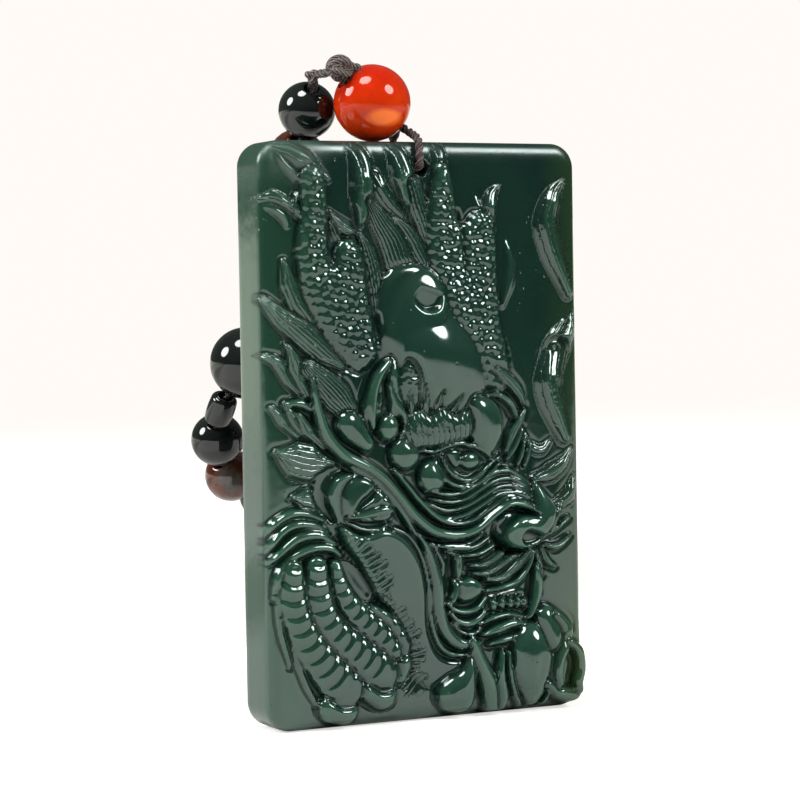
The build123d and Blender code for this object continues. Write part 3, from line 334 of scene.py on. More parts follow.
    ("nose tuft four", "rib", [(83.8, 28.4), (85, 26), (86.4, 23.8)], (0.6, 1.1, 0.4), 10, 44, "strands",
     2),
    ("nose tuft five", "rib", [(88.4, 31), (90.8, 34.2), (92.4, 36.4)], (0.5, 1.1, 0.5), 12, 44),
    # left paw
    ("cuff one", "rib", [(-0.6, 33.6), (3, 35.8), (7.4, 37), (12, 36.8), (17, 35.6)],
     (0.9, 1.4, 1.5, 1.2, 0.5), 10, 44),
    ("cuff two", "rib", [(0.2, 31), (4, 34), (8.6, 35.2), (14, 34.8), (18, 33.6)],
     (0.8, 1.5, 1.6, 1.4, 0.6), 12, 46),
    ("cuff three", "rib", [(0.6, 29), (5, 31.4), (9.6, 33), (15, 33.2), (20, 31.6)],
     (0.6, 1.6, 1.8, 1.7, 0.7), 14, 48),
    ("paw back", "rib", [(2.2, 23), (3.4, 27), (7, 29.6), (12.4, 31), (18, 31), (21.4, 29.6)],
     (0.7, 1.2, 1.5, 1.6, 1.4, 0.7), 14, 50),
    ("palm hollow", "pillow", [(20, 28), (24, 28.6), (29, 26), (31.6, 22.6), (27, 20.4), (22.6, 23)],
     (2.2,), 6, -12),
    ("paw edge", "rib", [(2.8, 24), (3, 20), (4, 16), (6.2, 11.4)], (0.6, 0.8, 0.8, 0.4), 8, 34),
    ("paw edge inner", "rib", [(5, 20.6), (5.8, 16.4), (8.2, 12), (11, 7.6), (14, 4.4)],
     (0.4, 0.9, 1.0, 0.9, 0.5), 6, 30),
    ("fourth nail", "rib", [(39.8, 12.6), (40.4, 10), (39.4, 8)], (2.9, 3.0, 2.0), 12, 58),
    ("fourth finger", "rib", [(26.4, 20.6), (31.6, 19.2), (36.4, 17), (39.8, 13.4)], (1.4, 2.6, 3.2, 3.3),
     16, 56, "ribs", 1.4),
    ("third finger", "rib", [(19.6, 28), (21, 24.2), (24, 20.8), (28.4, 18), (33.2, 15.4), (37, 12.6)],
     (1.8, 2.9, 3.6, 3.9, 3.9, 3.2), 18, 58, "ribs", 1.4),
    ("second nail", "rib", [(30.4, 6.9), (33.8, 5.3)], (4.9, 4.6), 16, 72),
    ("second finger", "rib", [(14, 28), (14.2, 23.8), (15.6, 19.8), (19, 16.4), (24, 13.6), (29.4, 11),
     (34.2, 8.8)], (3.2, 4.0, 4.3, 4.7, 5.1, 5.3, 5.2), 22, 62, "ribs", 1.5),
    ("first nail", "rib", [(18.6, 3.7), (22, 3.1)], (4.6, 4.4), 14, 70),
    ("first finger", "rib", [(7.2, 27.6), (6.9, 23.4), (8, 19.4), (10.8, 15.4), (14.8, 11.8), (19.2, 8.6),
     (22.4, 6.8)], (3.0, 3.9, 4.1, 4.4, 5.0, 5.6, 5.4), 18, 62, "ribs", 1.6),
    # lower right claws and pearl
    ("teardrop claw", "pillow", [(51, 3.2), (51.4, 5.6), (54.4, 7.2), (58, 8.2), (60.2, 10), (61.4, 12.6),
     (62.8, 10), (63.2, 6.4), (62.8, 3), (60, 0.9), (54, 1.1)], (5.0,), 22, 78),
    ("claw stem light", "rib", [(62, 13.8), (63.4, 11.2), (66, 7.2), (67.8, 3.8), (68.2, 0.8)],
     (0.8, 1.8, 2.7, 3.0, 2.5), 20, 62),
    ("middle claw", "rib", [(71.4, 11), (70.8, 7), (71.6, 3.4), (71.2, 1.2)], (0.7, 1.4, 1.9, 1.2), 20, 54),
    ("pearl rim left", "rib", [(73.6, 11), (74, 7), (75.4, 3.6), (77.8, 1)], (0.6, 1.0, 1.0, 0.6), 20, 44),
    ("pearl rim right", "rib", [(88.8, 11), (88, 6.8), (86.8, 3.8), (85, 1.2)], (0.6, 1.3, 1.3, 0.6), 20,
     48),
    ("pearl", "pillow", [(74.8, 9), (75, 12.4), (77.4, 15), (81.6, 16), (85.8, 14.8), (88, 11.6),
     (87.4, 7.4), (85, 3.2), (81.2, 1), (77.4, 2.8), (75.2, 6)], (8.0,), 24, 98),
    ("knuckle", "pillow", [(83.2, 17.7), (85.9, 18.7), (89.2, 18.2), (92.4, 15.9), (93, 13.2), (92, 11),
     (88.7, 10.2), (86, 11.2), (84.1, 13.8), (82.8, 16.2)], (4.4,), 24, 72),
    ("claw pad", "rib", [(86.2, 4.6), (90, 3), (94.8, 2.2), (98.6, 2.5)], (1.6, 2.3, 2.4, 2.0), 18, 58),
    ("claw one", "rib", [(89.6, 16.8), (92.8, 14.4), (92.4, 11.7), (90.3, 9.2), (89.4, 6.4), (90, 4.6)],
     (1.6, 2.2, 2.2, 2.0, 1.8, 1.4), 28, 62),
    ("claw two", "rib", [(93.4, 12), (96.8, 10), (97.7, 7), (96.6, 4.6), (97.2, 3)],
     (1.2, 2.0, 2.1, 1.9, 1.5), 26, 66),
)]
strand_depth = 0.3
finger_rib_depth = 0.22
scale_depth = 0.36
hair_depth = 0.16         # upright hair
comb_depth = 0.3
form_edge = 0.15          # width over which a form's edge meets what it lies on
form_groove = 0.28        # width of the groove round a form
climb_slope = 0.38        # of a wisp's foot
scoop_wall = 1.8          # slope of the wall along a scoop's rim


def face_mm(points):
    """Places on the face, from percent to millimetres."""
    return np.array(points, float) * (plaque_width / 100, plaque_height / 100) - (plaque_width / 2, 0)


def smooth_line(points, closed=False, steps=8):
    """A smooth line through given points, with the place of each of its points along them."""
    if closed:
        points = np.vstack([points[-1], points, points[0], points[1]])
    else:
        points = np.vstack([2 * points[0] - points[1], points, 2 * points[-1] - points[-2]])
    line, place = [], []
    for i in range(len(points) - 3):
        a, b, c, d = points[i:i + 4]
        for k in range(steps):
            t = k / steps
            line.append(0.5 * (2 * b + (c - a) * t + (2 * a - 5 * b + 4 * c - d) * t * t
                               + (3 * b - a - 3 * c + d) * t ** 3))
            place.append(i + t)
    if not closed:
        line.append(points[-2])
        place.append(len(points) - 3)
    return np.array(line), np.array(place)


def nearest(x, z, line, closed=False):
    """Distance to a line, its side, the place along the line and the length to there."""
    start = line if closed else line[:-1]
    run = np.roll(line, -1, axis=0) - line if closed else line[1:] - line[:-1]
    length = np.hypot(run[:, 0], run[:, 1]) + 1e-9
    along = np.concatenate([[0], np.cumsum(length)[:-1]])
    px, pz = x[:, None] - start[None, :, 0], z[:, None] - start[None, :, 1]
    t = np.clip((px * run[:, 0] + pz * run[:, 1]) / length ** 2, 0, 1)
    distance = np.hypot(px - t * run[:, 0], pz - t * run[:, 1])
    k = np.argmin(distance, axis=1)
    rows = np.arange(len(x))
    side = np.sign(run[k, 0] * pz[rows, k] - run[k, 1] * px[rows, k])
    return distance[rows, k], side, k + t[rows, k], along[k] + t[rows, k] * length[k]


def inside(x, z, line):
    """Whether places lie inside a closed line."""
    odd = np.zeros(len(x), bool)
    for (x0, z0), (x1, z1) in zip(line, np.roll(line, -1, axis=0)):
        odd ^= ((z0 > z) != (z1 > z)) & (x < (x1 - x0) * (z - z0) / (z1 - z0 + 1e-12) + x0)
    return odd


def scales(along, across, pitch):
    """Uneven round scales in staggered rows: about 1 on each boss, 0 in the grooves between them."""
    row_pitch = 0.88 * pitch
    nearest_one, next_one = np.full(len(along), 99.0), np.full(len(along), 99.0)
    tilt = np.zeros(len(along))
    row = np.floor(along / row_pitch)
    for step in (-1, 0, 1):
        line = row + step
        shift = 0.5 * (line % 2)
        column = np.floor(across / pitch - shift)
        for hop in (-1, 0, 1):
            cell = column + hop
            # each scale's own stray number sets its place, size and tilt
            stray = np.sin(line * 12.9 + cell * 78.2) * 43.7
            reach_a = along - (line + 0.5 + 0.6 * (stray % 1 - 0.5)) * row_pitch
            reach_b = across - (cell + 0.5 + shift + 0.6 * ((stray * 7.3) % 1 - 0.5)) * pitch
            gap = np.hypot(reach_a, reach_b) * (0.85 + 0.4 * ((stray * 3.1) % 1))
            lean = ((stray * 5.7) % 1 - 0.62) * reach_a + ((stray * 9.1) % 1 - 0.5) * reach_b
            tilt = np.where(gap < nearest_one, lean / pitch, tilt)
            next_one = np.minimum(next_one, np.maximum(nearest_one, gap))
            nearest_one = np.minimum(nearest_one, gap)
    edge = np.clip((next_one - nearest_one) / (0.46 * pitch), 0, 1)
    return np.sqrt(1 - (1 - edge) ** 2) + 0.6 * tilt


def furrow(count):
    """Narrow grooves at each whole number, 1 deep, with round ridges between them."""
    return 1 - np.sqrt(np.abs(np.sin(math.pi * count)))


def finer_work(form, along, across, half, x, z):
    """Depth of the carver's finer lines on a form, and the count of lines up to each place."""
    none = np.zeros(len(x))
    if form.mark == "strands":
        share = np.clip(across / np.maximum(half, 1e-6), -1, 1)
        lines = form.pitch * (share + 1) / 2
        return strand_depth * furrow(lines), lines
    if form.mark == "ribs":
        # each has a short steep upper side and a long gentle lower side
        upper = 0.24
        share = (along + 0.4 * form.pitch * (across / half) ** 2) / form.pitch % 1
        steep = np.clip(1 - share / upper, 0, 1)
        gentle = ((share - upper) / (1 - upper)) ** 1.8
        return finger_rib_depth * np.where(share < upper, steep * steep * (3 - 2 * steep), gentle), none
    if form.mark == "scales":
        return scale_depth * (1 - scales(along + 0.2 * across, across, form.pitch)), none
    if form.mark == "upright":
        lines = (x + 0.12 * z) / form.pitch
        return hair_depth * furrow(lines), lines
    return none, none


def swelling(x, z):
    """How far the broad swells lift the ground, in millimetres."""
    lift = np.zeros(len(x))
    for swell in SWELLS:
        across = (x / plaque_width + 0.5) * 100 - swell.across
        up = z / plaque_height * 100 - swell.up
        share = np.clip((across / swell.reach_across) ** 2 + (up / swell.reach_up) ** 2, 0, 1)
        lift += (1 - share) ** 2 * swell.rise / 100 * relief_depth
    return lift


def carve(x, z):
    """The carving at places of the face: its height over the ground in millimetres, and for the
    finer lines the length along them, their count and whether there are any."""
    base = swelling(x, z)
    height = base.copy()
    lines = np.zeros((len(x), 3))
    for number, form in enumerate(FORMS):
        points = face_mm(form.points)
        halves = np.array(form.half) * plaque_width / 100
        if form.kind == "ball":
            line = points
        elif form.kind == "dome":
            (middle, side, upper), drop = points, form.pitch
            wide, tall = side[0] - middle[0], upper[1] - middle[1]
            corner = np.array([wide, tall + abs(drop) * wide])
            line = np.array([middle - corner, middle + corner])
        else:
            line, place = smooth_line(points, form.kind in ("pillow", "hollow"))
        reach = 1 if form.kind in ("pillow", "hollow", "dome", "scoop") else halves.max() + 1
        low, high = line.min(0) - reach, line.max(0) + reach
        near = (x > low[0]) & (x < high[0]) & (z > low[1]) & (z < high[1])
        xs, zs = x[near], z[near]
        half = halves[0]
        if form.kind == "dome":
            across, up = xs - middle[0], zs - middle[1] - drop * (xs - middle[0])
            share = (across / wide) ** 2 + (up / tall) ** 2
            top = base[near] + relief_depth / 100 * (form.level + form.rise * (1 - share ** form.half[0]))
            height[near] = np.where(share < 1, np.maximum(height[near], top), height[near])
            continue
        if form.kind == "ball":
            share = np.hypot((xs - line[0, 0]) / halves[0], (zs - line[0, 1]) / halves[1])
            outside = (share - 1) * halves.min()
            crown = np.sqrt(np.clip(1 - share ** 2, 0, 1))
            along, across = zs, xs
        elif form.kind in ("pillow", "hollow"):
            distance, _, _, _ = nearest(xs, zs, line, closed=True)
            within = inside(xs, zs, line)
            share = 1 - np.clip(distance / half, 0, 1)
            if form.kind == "hollow":
                height[near] -= relief_depth * form.rise / 100 * (1 - share ** 2) * within
                continue
            crown = np.where(within, np.sqrt(1 - share ** 2), 0)
            outside = np.where(within, -distance, distance)
            along, across = zs, xs
        else:
            distance, side, spot, along = nearest(xs, zs, line)
            half = np.interp(np.interp(spot, np.arange(len(line)), place), np.arange(len(halves)), halves)
            bow = 3.0 if form.mark == "ribs" else 2
            crown = np.sqrt(np.clip(1 - (distance / half) ** bow, 0, 1))
            if form.kind == "wisp":
                climb = np.clip(climb_slope * along / (relief_depth * form.rise / 100), 0, 1)
                crown = crown ** 3 * climb
            outside = distance - half
            across = side * distance
        if form.kind == "cut":
            height[near] -= relief_depth * form.rise / 100 * crown
            continue
        if form.kind == "scoop":
            # the facet is met by a wall along its rim
            facet = relief_depth * form.level / 100 + form.pitch * (zs - line[:, 1].max())
            facet = facet + scoop_wall * np.clip(halves[0] - distance, 0, None)
            cut_here = inside(xs, zs, line)
            height[near] = np.where(cut_here, np.minimum(height[near], facet), height[near])
            continue
        if form.kind == "comb":
            # the strokes are of uneven length
            count = along / form.pitch
            uneven = np.sin(np.floor(count) * 12.9) * 43.7 % 1
            shown = np.clip((half * (0.45 + 0.55 * uneven) - distance) / 0.35, 0, 1)
            height[near] -= comb_depth * shown * furrow(count)
            combed = np.stack([9 * number + across, count, shown], -1)
            lines[near] = np.where((shown > 0)[:, None], combed, lines[near])
            continue
        under = base[near]
        if form.mark == "leaning":
            under = 0.1 + form.pitch * (zs - line[:, 1].mean())
        elif form.mark == "scales":
            under = under + 0.028 * np.clip(zs - line[:, 1].mean(), None, 9)
        fine, count = finer_work(form, along, across, half, xs, zs)
        if form.kind == "wisp":
            fine = fine * crown ** 0.4
        top = under + relief_depth / 100 * (form.level + form.rise * crown) - fine
        old = height[near]
        if form.rise > 0:
            shallow = form.kind == "wisp" or form.mark == "leaning"
            groove = 0.03 if shallow else min(0.2, 0.05 + 0.02 * form.level)
            beside = np.exp(-(np.clip(outside, 0, None) / form_groove) ** 2) * (outside > -form_edge)
            old = old - groove * beside
        mix = np.clip(0.5 - outside / form_edge, 0, 1)
        height[near] = old * (1 - mix) + top * mix
        has_lines = np.full(len(xs), float(form.mark in ("strands", "upright")))
        lined = np.stack([along + 9 * number, count, has_lines], -1)
        lines[near] = np.where((mix > 0.5)[:, None], lined, lines[near])
    return height, lines


# Meshes

def make_piece(name, points, faces, material, replaced):
    """A smooth piece from points in millimetres, standing for the nodes it replaces."""
    mesh = bpy.data.meshes.new(name)
    mesh.from_pydata((np.asarray(points) * MM).tolist(), [], faces)
    mesh.shade_smooth()
    mesh.materials.append(material)
    piece = bpy.data.objects.new(name, mesh)
    bpy.context.scene.collection.objects.link(piece)
    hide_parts(*replaced)
    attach(piece, "root")
    return piece


def mark_points(piece, name, values):
    """A value or a place kept on each point of a mesh, for its material to read."""
    values = np.asarray(values, np.float32)
    kind, field = ("FLOAT", "value") if values.ndim == 1 else ("FLOAT_VECTOR", "vector")
    layer = piece.data.attributes.new(name, kind, "POINT")
    layer.data.foreach_set(field, values.ravel())


def make_joined(name, parts, material, node, kept_as):
    """A piece of loose parts, with each point's own place kept under a name."""
    points, faces, own = join_parts(parts)
    mark_points(make_piece(name, points, faces, material, (node,)), kept_as, own)


def join_parts(parts):
    """Points, faces and kept values of several loose parts as one body."""
    points, faces, kept, count = [], [], [], 0
    for part_points, part_faces, part_kept in parts:
        points.append(part_points)
        faces += [tuple(i + count for i in face) for face in part_faces]
        kept.append(part_kept)
        count += len(part_points)
    return np.vstack(points), faces, np.vstack(kept)


# The plaque

hole_x = (hole_across / 100 - 0.5) * plaque_width
hole_z = plaque_height - hole_below_top
hole_block = 9            # cells from the hole's middle to the edge of its round patch
hole_inner = 5            # cells from there to the lip, where the face ends
hole_lip = hole_radius + 0.2


def half_width(z):
    """Half the plaque's width at a height, with its rounded corners."""
    into_corner = corner_radius - np.minimum(np.minimum(z, plaque_height - z), corner_radius)
    reach = np.sqrt(np.clip(corner_radius ** 2 - into_corner ** 2, 0, None))
    return plaque_width / 2 - corner_radius + reach


def inset(x, z):
    """How far a place of the face lies inside the plaque's outline."""
    side = plaque_width / 2 - np.abs(x)
    end = np.minimum(z, plaque_height - z)
    corner = corner_radius - np.hypot(corner_radius - side, corner_radius - end)
    return np.where((side < corner_radius) & (end < corner_radius), corner, np.minimum(side, end))


def spaced(length, cells):
    """Places along a length: close together at both ends, even between them."""
    ends = [0, 0.02, 0.08, 0.18]
    middle = np.linspace(0.32, length - 0.32, cells - 2 * len(ends) + 1)
    return np.concatenate([ends, middle, [length - end for end in reversed(ends)]])


def soften(grid, times):
    """The grid's values, each averaged with its neighbours, a number of times."""
    for _ in range(times):
        wide = np.pad(grid, 1, mode="edge")
        grid = (wide[:-2] + 2 * wide[1:-1] + wide[2:])[:, 1:-1] / 4
        wide = np.pad(grid, 1, mode="edge")
        grid = (wide[:, :-2] + 2 * wide[:, 1:-1] + wide[:, 2:])[1:-1] / 4
    return grid


def face_grid():
    """The face's columns and rows as two grids of places, with a round patch at the hole."""
    rows = spaced(plaque_height, cells_up)
    shares = spaced(plaque_width, cells_across) / plaque_width * 2 - 1
    z = np.repeat(rows[:, None], len(shares), axis=1)
    x = shares[None, :] * half_width(rows)[:, None]
    row, column = np.argmin(abs(rows - hole_z)), np.argmin(abs(x[len(rows) // 2] - hole_x))
    for j in range(row - hole_block, row + hole_block + 1):
        for i in range(column - hole_block, column + hole_block + 1):
            ring = max(abs(j - row), abs(i - column))
            share = np.clip((hole_block - ring) / (hole_block - hole_inner), 0, 1)
            angle = math.atan2(j - row, i - column)
            x[j, i] += share * (hole_x + hole_lip * math.cos(angle) - x[j, i])
            z[j, i] += share * (hole_z + hole_lip * math.sin(angle) - z[j, i])
    return x, z, row, column


def make_plaque(material):
    """The plaque: its carved face, its walls and plain back, and the drilled hole."""
    x, z, row, column = face_grid()
    depth = np.clip(inset(x, z), 0, None)
    # the claws at the lower right come nearer to the outline than the rest
    lower_right = np.clip((x - 12) / 4, 0, 1) * np.clip((14 - z) / 4, 0, 1)
    fade = np.clip(depth / (relief_fade - 0.4 * lower_right), 0, 1)
    fade = fade * fade * (3 - 2 * fade)
    height, lines = carve(x.ravel(), z.ravel())
    height = soften(height.reshape(x.shape), 1)
    rounding = 1 - np.clip(depth / front_rounding, 0, 1)
    power = 2.6
    y = -wall_thickness / 2 - front_rise * (1 - rounding ** power) ** (1 / power) - height * fade
    hollow = height - soften(height, 24)
    groove = height - soften(height, 3)
    high, wide = x.shape
    number = np.arange(high * wide).reshape(high, wide)
    corner = np.stack([number[:-1, :-1], number[:-1, 1:], number[1:, 1:], number[1:, :-1]], -1)
    keep = np.ones((high - 1, wide - 1), bool)
    keep[row - hole_inner:row + hole_inner, column - hole_inner:column + hole_inner] = False
    faces = [tuple(face) for face in corner[keep].tolist()]
    points = [np.stack([x.ravel(), y.ravel(), z.ravel()], -1)]
    outline = np.concatenate([number[0], number[1:, -1], number[-1, -2::-1], number[-2:0:-1, 0]])
    low, high, left, right = row - hole_inner, row + hole_inner, column - hole_inner, column + hole_inner
    lip = np.concatenate([number[low, left:right + 1], number[low + 1:high + 1, right],
                          number[high, right - 1:left - 1:-1], number[high - 1:low:-1, left]])
    flat = points[0]
    count = len(flat)

    def add_ring(before, centre_x, centre_z, scale, drawn_in, at_y):
        """A ring further back, from the one before it, joined to it by a band of faces."""
        nonlocal count
        ring = flat[start].copy()
        across, up = ring[:, 0] - centre_x, ring[:, 2] - centre_z
        ring[:, 0] = centre_x + across * scale
        ring[:, 2] = centre_z + up * scale
        if drawn_in:
            limit_x = plaque_width / 2 - corner_radius
            limit_z = plaque_height / 2 - corner_radius
            core_x = np.clip(across, -limit_x, limit_x)
            core_z = np.clip(up, -limit_z, limit_z)
            away = np.hypot(across - core_x, up - core_z)
            ring[:, 0] -= (across - core_x) / away * drawn_in
            ring[:, 2] -= (up - core_z) / away * drawn_in
        ring[:, 1] = at_y
        points.append(ring)
        new = np.arange(count, count + len(ring))
        count += len(ring)
        for k in range(len(ring)):
            faces.append((int(before[k - 1]), int(before[k]), int(new[k]), int(new[k - 1])))
        return new

    # the walls, and the rounded edge of the back
    start, ring = outline, outline
    back_y = wall_thickness / 2
    for at_y, drawn_in in ((-0.6, 0), (1.2, 0), (back_y - back_rounding, 0), (back_y - 0.35, 0.06),
                           (back_y - 0.12, 0.24), (back_y, back_rounding)):
        ring = add_ring(ring, 0, plaque_height / 2, 1, drawn_in, at_y)
    back = ring
    # the hole, with its two countersunk mouths
    start, ring = lip, lip
    lip_y = flat[lip, 1].mean()
    for at_y, radius in ((lip_y + 0.14, 0.88), (lip_y + 0.36, hole_radius), (back_y - 0.3, hole_radius),
                         (back_y - 0.1, 0.86), (back_y, 1.0)):
        ring = add_ring(ring, hole_x, hole_z, radius / hole_lip, 0, at_y)
    everything = np.vstack(points)
    # the back is two faces that meet over and under the hole
    top = int(np.argmin(np.hypot(everything[back, 0] - hole_x, everything[back, 2] - plaque_height)))
    foot = int(np.argmin(np.hypot(everything[back, 0] - hole_x, everything[back, 2])))
    hole_top = int(np.argmax(everything[ring, 2]))
    hole_foot = int(np.argmin(everything[ring, 2]))

    def walk(loop, first, last):
        """The loop's points from one place to another, in its order."""
        steps = (last - first) % len(loop)
        return [int(loop[(first + k) % len(loop)]) for k in range(steps + 1)]

    faces.append(tuple(walk(back, foot, top) + walk(ring, hole_foot, hole_top)[::-1]))
    faces.append(tuple(walk(back, top, foot) + walk(ring, hole_top, hole_foot)[::-1]))
    piece = make_piece("plaque_carved", everything, faces, material, ("plaque",))
    spare = np.zeros(len(everything) - len(flat))
    for name, values in (("height", height / relief_depth), ("hollow", hollow), ("grooves", groove)):
        mark_points(piece, "carving_" + name, np.concatenate([values.ravel(), spare]))
    mark_points(piece, "carving_lines", np.vstack([lines, np.zeros((len(spare), 3))]))
    turn_outward(piece)


def turn_outward(piece):
    """All faces look outward."""
    work = bmesh.new()
    work.from_mesh(piece.data)
    bmesh.ops.recalc_face_normals(work, faces=work.faces)
    work.to_mesh(piece.data)
    work.free()


# Beads

large_bead = 8.0
small_bead = 6.0
barrel_diameter = 3.0
barrel_length = 3.6
single_beads = ("first_black_bead", "side_black_bead", "side_barrel_bead", "side_small_bead",
                "side_agate_bead")


def bead_profile(diameter, bore, length=0.0, steps=18):
    """Half the section of a drilled bead, as radius and place along its axis, closed through the bore."""
    radius = diameter / 2
    rim = bore / 2 + 0.12
    if length:
        end = length / 2
        edge, swell = 0.6, 0.06
        turns = [math.radians(90 * k / 6) for k in range(7)]
        corner = [(radius - edge + edge * math.sin(turn), end - edge * (1 - math.cos(turn)))
                  for turn in turns]
        side = [(radius + swell * math.sin(math.pi * k / 6), (k / 6 - 0.5) * (length - 2 * edge))
                for k in range(1, 6)]
        outline = [(rim, -end)] + [(r, -z) for r, z in corner] + side + corner[::-1] + [(rim, end)]
    else:
        widest = math.acos(rim / radius)
        angles = [-widest + 2 * widest * k / steps for k in range(steps + 1)]
        outline = [(radius * math.cos(angle), radius * math.sin(angle)) for angle in angles]
        end = radius * math.sin(widest)
    return outline + [(bore / 2, place) for place in (end - 0.1, end / 3, -end / 3, -end + 0.1)]


def turned(profile, segments, centre, axis):
    """A turned body at its place, with each point's own place in the bead kept for its stone."""
    rings = len(profile)
    radius, along = np.array(profile).T
    angle = np.arange(segments) * 2 * math.pi / segments
    own = np.stack([np.outer(np.cos(angle), radius), np.outer(np.sin(angle), radius),
                    np.tile(along, (segments, 1))], -1).reshape(-1, 3)
    faces = []
    for i in range(segments):
        j = (i + 1) % segments
        for k in range(rings):
            m = (k + 1) % rings
            faces.append((i * rings + k, j * rings + k, j * rings + m, i * rings + m))
    turn = np.array(Vector(axis).to_track_quat("Z", "Y").to_matrix())
    return own @ turn.T + np.asarray(centre), faces, own


def loose_parts(node):
    """Middle and reach of each separate bead in a node of the frame, in millimetres."""
    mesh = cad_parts[node].data
    co = np.zeros(len(mesh.vertices) * 3)
    mesh.vertices.foreach_get("co", co)
    co = co.reshape(-1, 3) / MM
    edges = np.zeros(len(mesh.edges) * 2, int)
    mesh.edges.foreach_get("vertices", edges)
    places, same = np.unique(np.round(co, 3), axis=0, return_inverse=True)
    edges = same.ravel()[edges].reshape(-1, 2)
    label = np.arange(len(places))
    while True:
        lowest = np.minimum(label[edges[:, 0]], label[edges[:, 1]])
        new = label.copy()
        np.minimum.at(new, edges[:, 0], lowest)
        np.minimum.at(new, edges[:, 1], lowest)
        new = new[new]
        if (new == label).all():
            break
        label = new
    found = []
    for mark in np.unique(label):
        part = places[label == mark]
        middle = (part.min(0) + part.max(0)) / 2
        found.append((middle, np.linalg.norm(part - middle, axis=1).max()))
    return found


def string_of_beads():
    """Every bead of the string in its order: node, kind, middle and direction of its bore."""
    loose = []
    for node in (*single_beads[1:], "black_beads", "agate_beads"):
        for middle, reach in loose_parts(node):
            # a barrel reaches 2.2 from its middle, a small bead 3 and a large one 4
            kind = "barrel" if reach < 2.6 else "small" if reach < 3.5 else "large"
            loose.append((node, kind, middle, reach))
    chain = [(single_beads[0], "small", *loose_parts(single_beads[0])[0])]
    while loose:
        last = chain[-1]
        gaps = [np.linalg.norm(bead[2] - last[2]) - bead[3] for bead in loose]
        chain.append(loose.pop(int(np.argmin(gaps))))
    middles = np.array([bead[2] for bead in chain])
    axes = np.gradient(middles, axis=0)
    return [(node, kind, spot, axis) for (node, kind, spot, _), axis in zip(chain, axes)]


def make_beads(stones):
    """The string's beads, each with its bore along the thread."""
    beads = string_of_beads()
    sizes = {"large": (large_bead, 0), "small": (small_bead, 0), "barrel": (barrel_diameter, barrel_length)}
    nodes = {node: [] for node in (*single_beads, "black_beads", "agate_beads")}
    chance = np.random.default_rng(11)
    for node, kind, middle, axis in beads:
        diameter, length = sizes[kind]
        steps, segments = (34, 56) if node in single_beads else (18, 28)
        profile = bead_profile(diameter, bead_bore, length, steps)
        points, faces, own = turned(profile, segments, middle, axis)
        # each bead is cut from another place of its stone
        nodes[node].append((points, faces, own + chance.uniform(-40, 40, 3)))
    for node, parts in nodes.items():
        stone = "agate" if "agate" in node else "black_stone"
        ending = "_turned" if node in single_beads else "_strung"
        make_joined(node + ending, parts, stones[stone], node, "stone_place")
    return beads


red_low, red_high = (np.array(corner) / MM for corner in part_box("red_bead"))
red_centre = (red_low + red_high) / 2
red_tilt = math.radians(red_bore_tilt)
bore_down = np.array([math.cos(red_tilt), 0, -math.sin(red_tilt)])


def make_red_bead(stone):
    """The bead that sits on the plaque's top edge, its bore dropping to the right."""
    points, faces, _ = turned(bead_profile(large_bead, red_bead_bore, 0, 48), 72, red_centre, bore_down)
    make_joined("red_bead_turned", [(points, faces, points - red_centre)], stone, "red_bead",
                "stone_place")


# Cords

def smooth_route(points):
    """Points close together on the smooth curve that a route in millimetres gives."""
    curve = bpy.data.curves.new("route", "CURVE")
    curve.dimensions = "3D"
    curve.resolution_u = 12
    spline = curve.splines.new("NURBS")
    spline.points.add(len(points) - 1)
    for spot, place in zip(spline.points, points):
        spot.co = (*place, 1)
    spline.order_u = 3
    spline.use_endpoint_u = True
    holder = bpy.data.objects.new("route", curve)
    bpy.context.scene.collection.objects.link(holder)
    bpy.context.view_layer.update()
    mesh = bpy.data.meshes.new_from_object(holder.evaluated_get(bpy.context.evaluated_depsgraph_get()))
    line = np.array([v.co[:] for v in mesh.vertices])
    bpy.data.objects.remove(holder)
    bpy.data.curves.remove(curve)
    bpy.data.meshes.remove(mesh)
    return line


def even_steps(line, step):
    """The line's points moved to even steps along it, with the length to each."""
    length = np.concatenate([[0], np.cumsum(np.linalg.norm(np.diff(line, axis=0), axis=1))])
    at = np.linspace(0, length[-1], max(int(length[-1] / step), 4))
    return np.stack([np.interp(at, length, line[:, k]) for k in range(3)], -1), at


def carried_frames(line):
    """Two directions across the line at each of its points, carried along without twisting."""
    run = np.gradient(line, axis=0)
    run /= np.linalg.norm(run, axis=1)[:, None]
    first = np.cross(run[0], (0.3, 0.2, 0.93))
    sides = [first / np.linalg.norm(first)]
    for direction in run[1:]:
        side = sides[-1] - direction * np.dot(sides[-1], direction)
        sides.append(side / np.linalg.norm(side))
    sides = np.array(sides)
    return sides, np.cross(run, sides)


def strand(line, at, radius, around, closed=False, start=0.0):
    """One round strand along a line; its own place is length along, then place round it."""
    side, other = carried_frames(line)
    angle = np.arange(around) * 2 * math.pi / around
    ring = np.cos(angle)[None, :, None] * side[:, None] + np.sin(angle)[None, :, None] * other[:, None]
    points = (line[:, None] + radius * ring).reshape(-1, 3)
    own = np.stack([np.repeat(at + start, around), np.tile(np.cos(angle), len(line)),
                    np.tile(np.sin(angle), len(line))], -1)
    faces = []
    for i in range(len(line) if closed else len(line) - 1):
        j = (i + 1) % len(line)
        for k in range(around):
            m = (k + 1) % around
            faces.append((i * around + k, i * around + m, j * around + m, j * around + k))
    if not closed:
        faces.append(tuple(range(around))[::-1])
        faces.append(tuple(range((len(line) - 1) * around, len(line) * around)))
    return points, faces, own


def twisted(line, diameter, pitch, step=0.1, around=8, start=0.0):
    """A cord of two plies twisted round each other along a line."""
    line, at = even_steps(line, step)
    side, other = carried_frames(line)
    parts = []
    for k in range(2):
        turn = 2 * math.pi * (at / pitch + k / 2)
        offset = (np.cos(turn)[:, None] * side + np.sin(turn)[:, None] * other) * diameter / 4
        # a little thicker than they would be if they only touched
        parts.append(strand(line + offset, at, 1.14 * diameter / 4, around, start=start))
    return parts


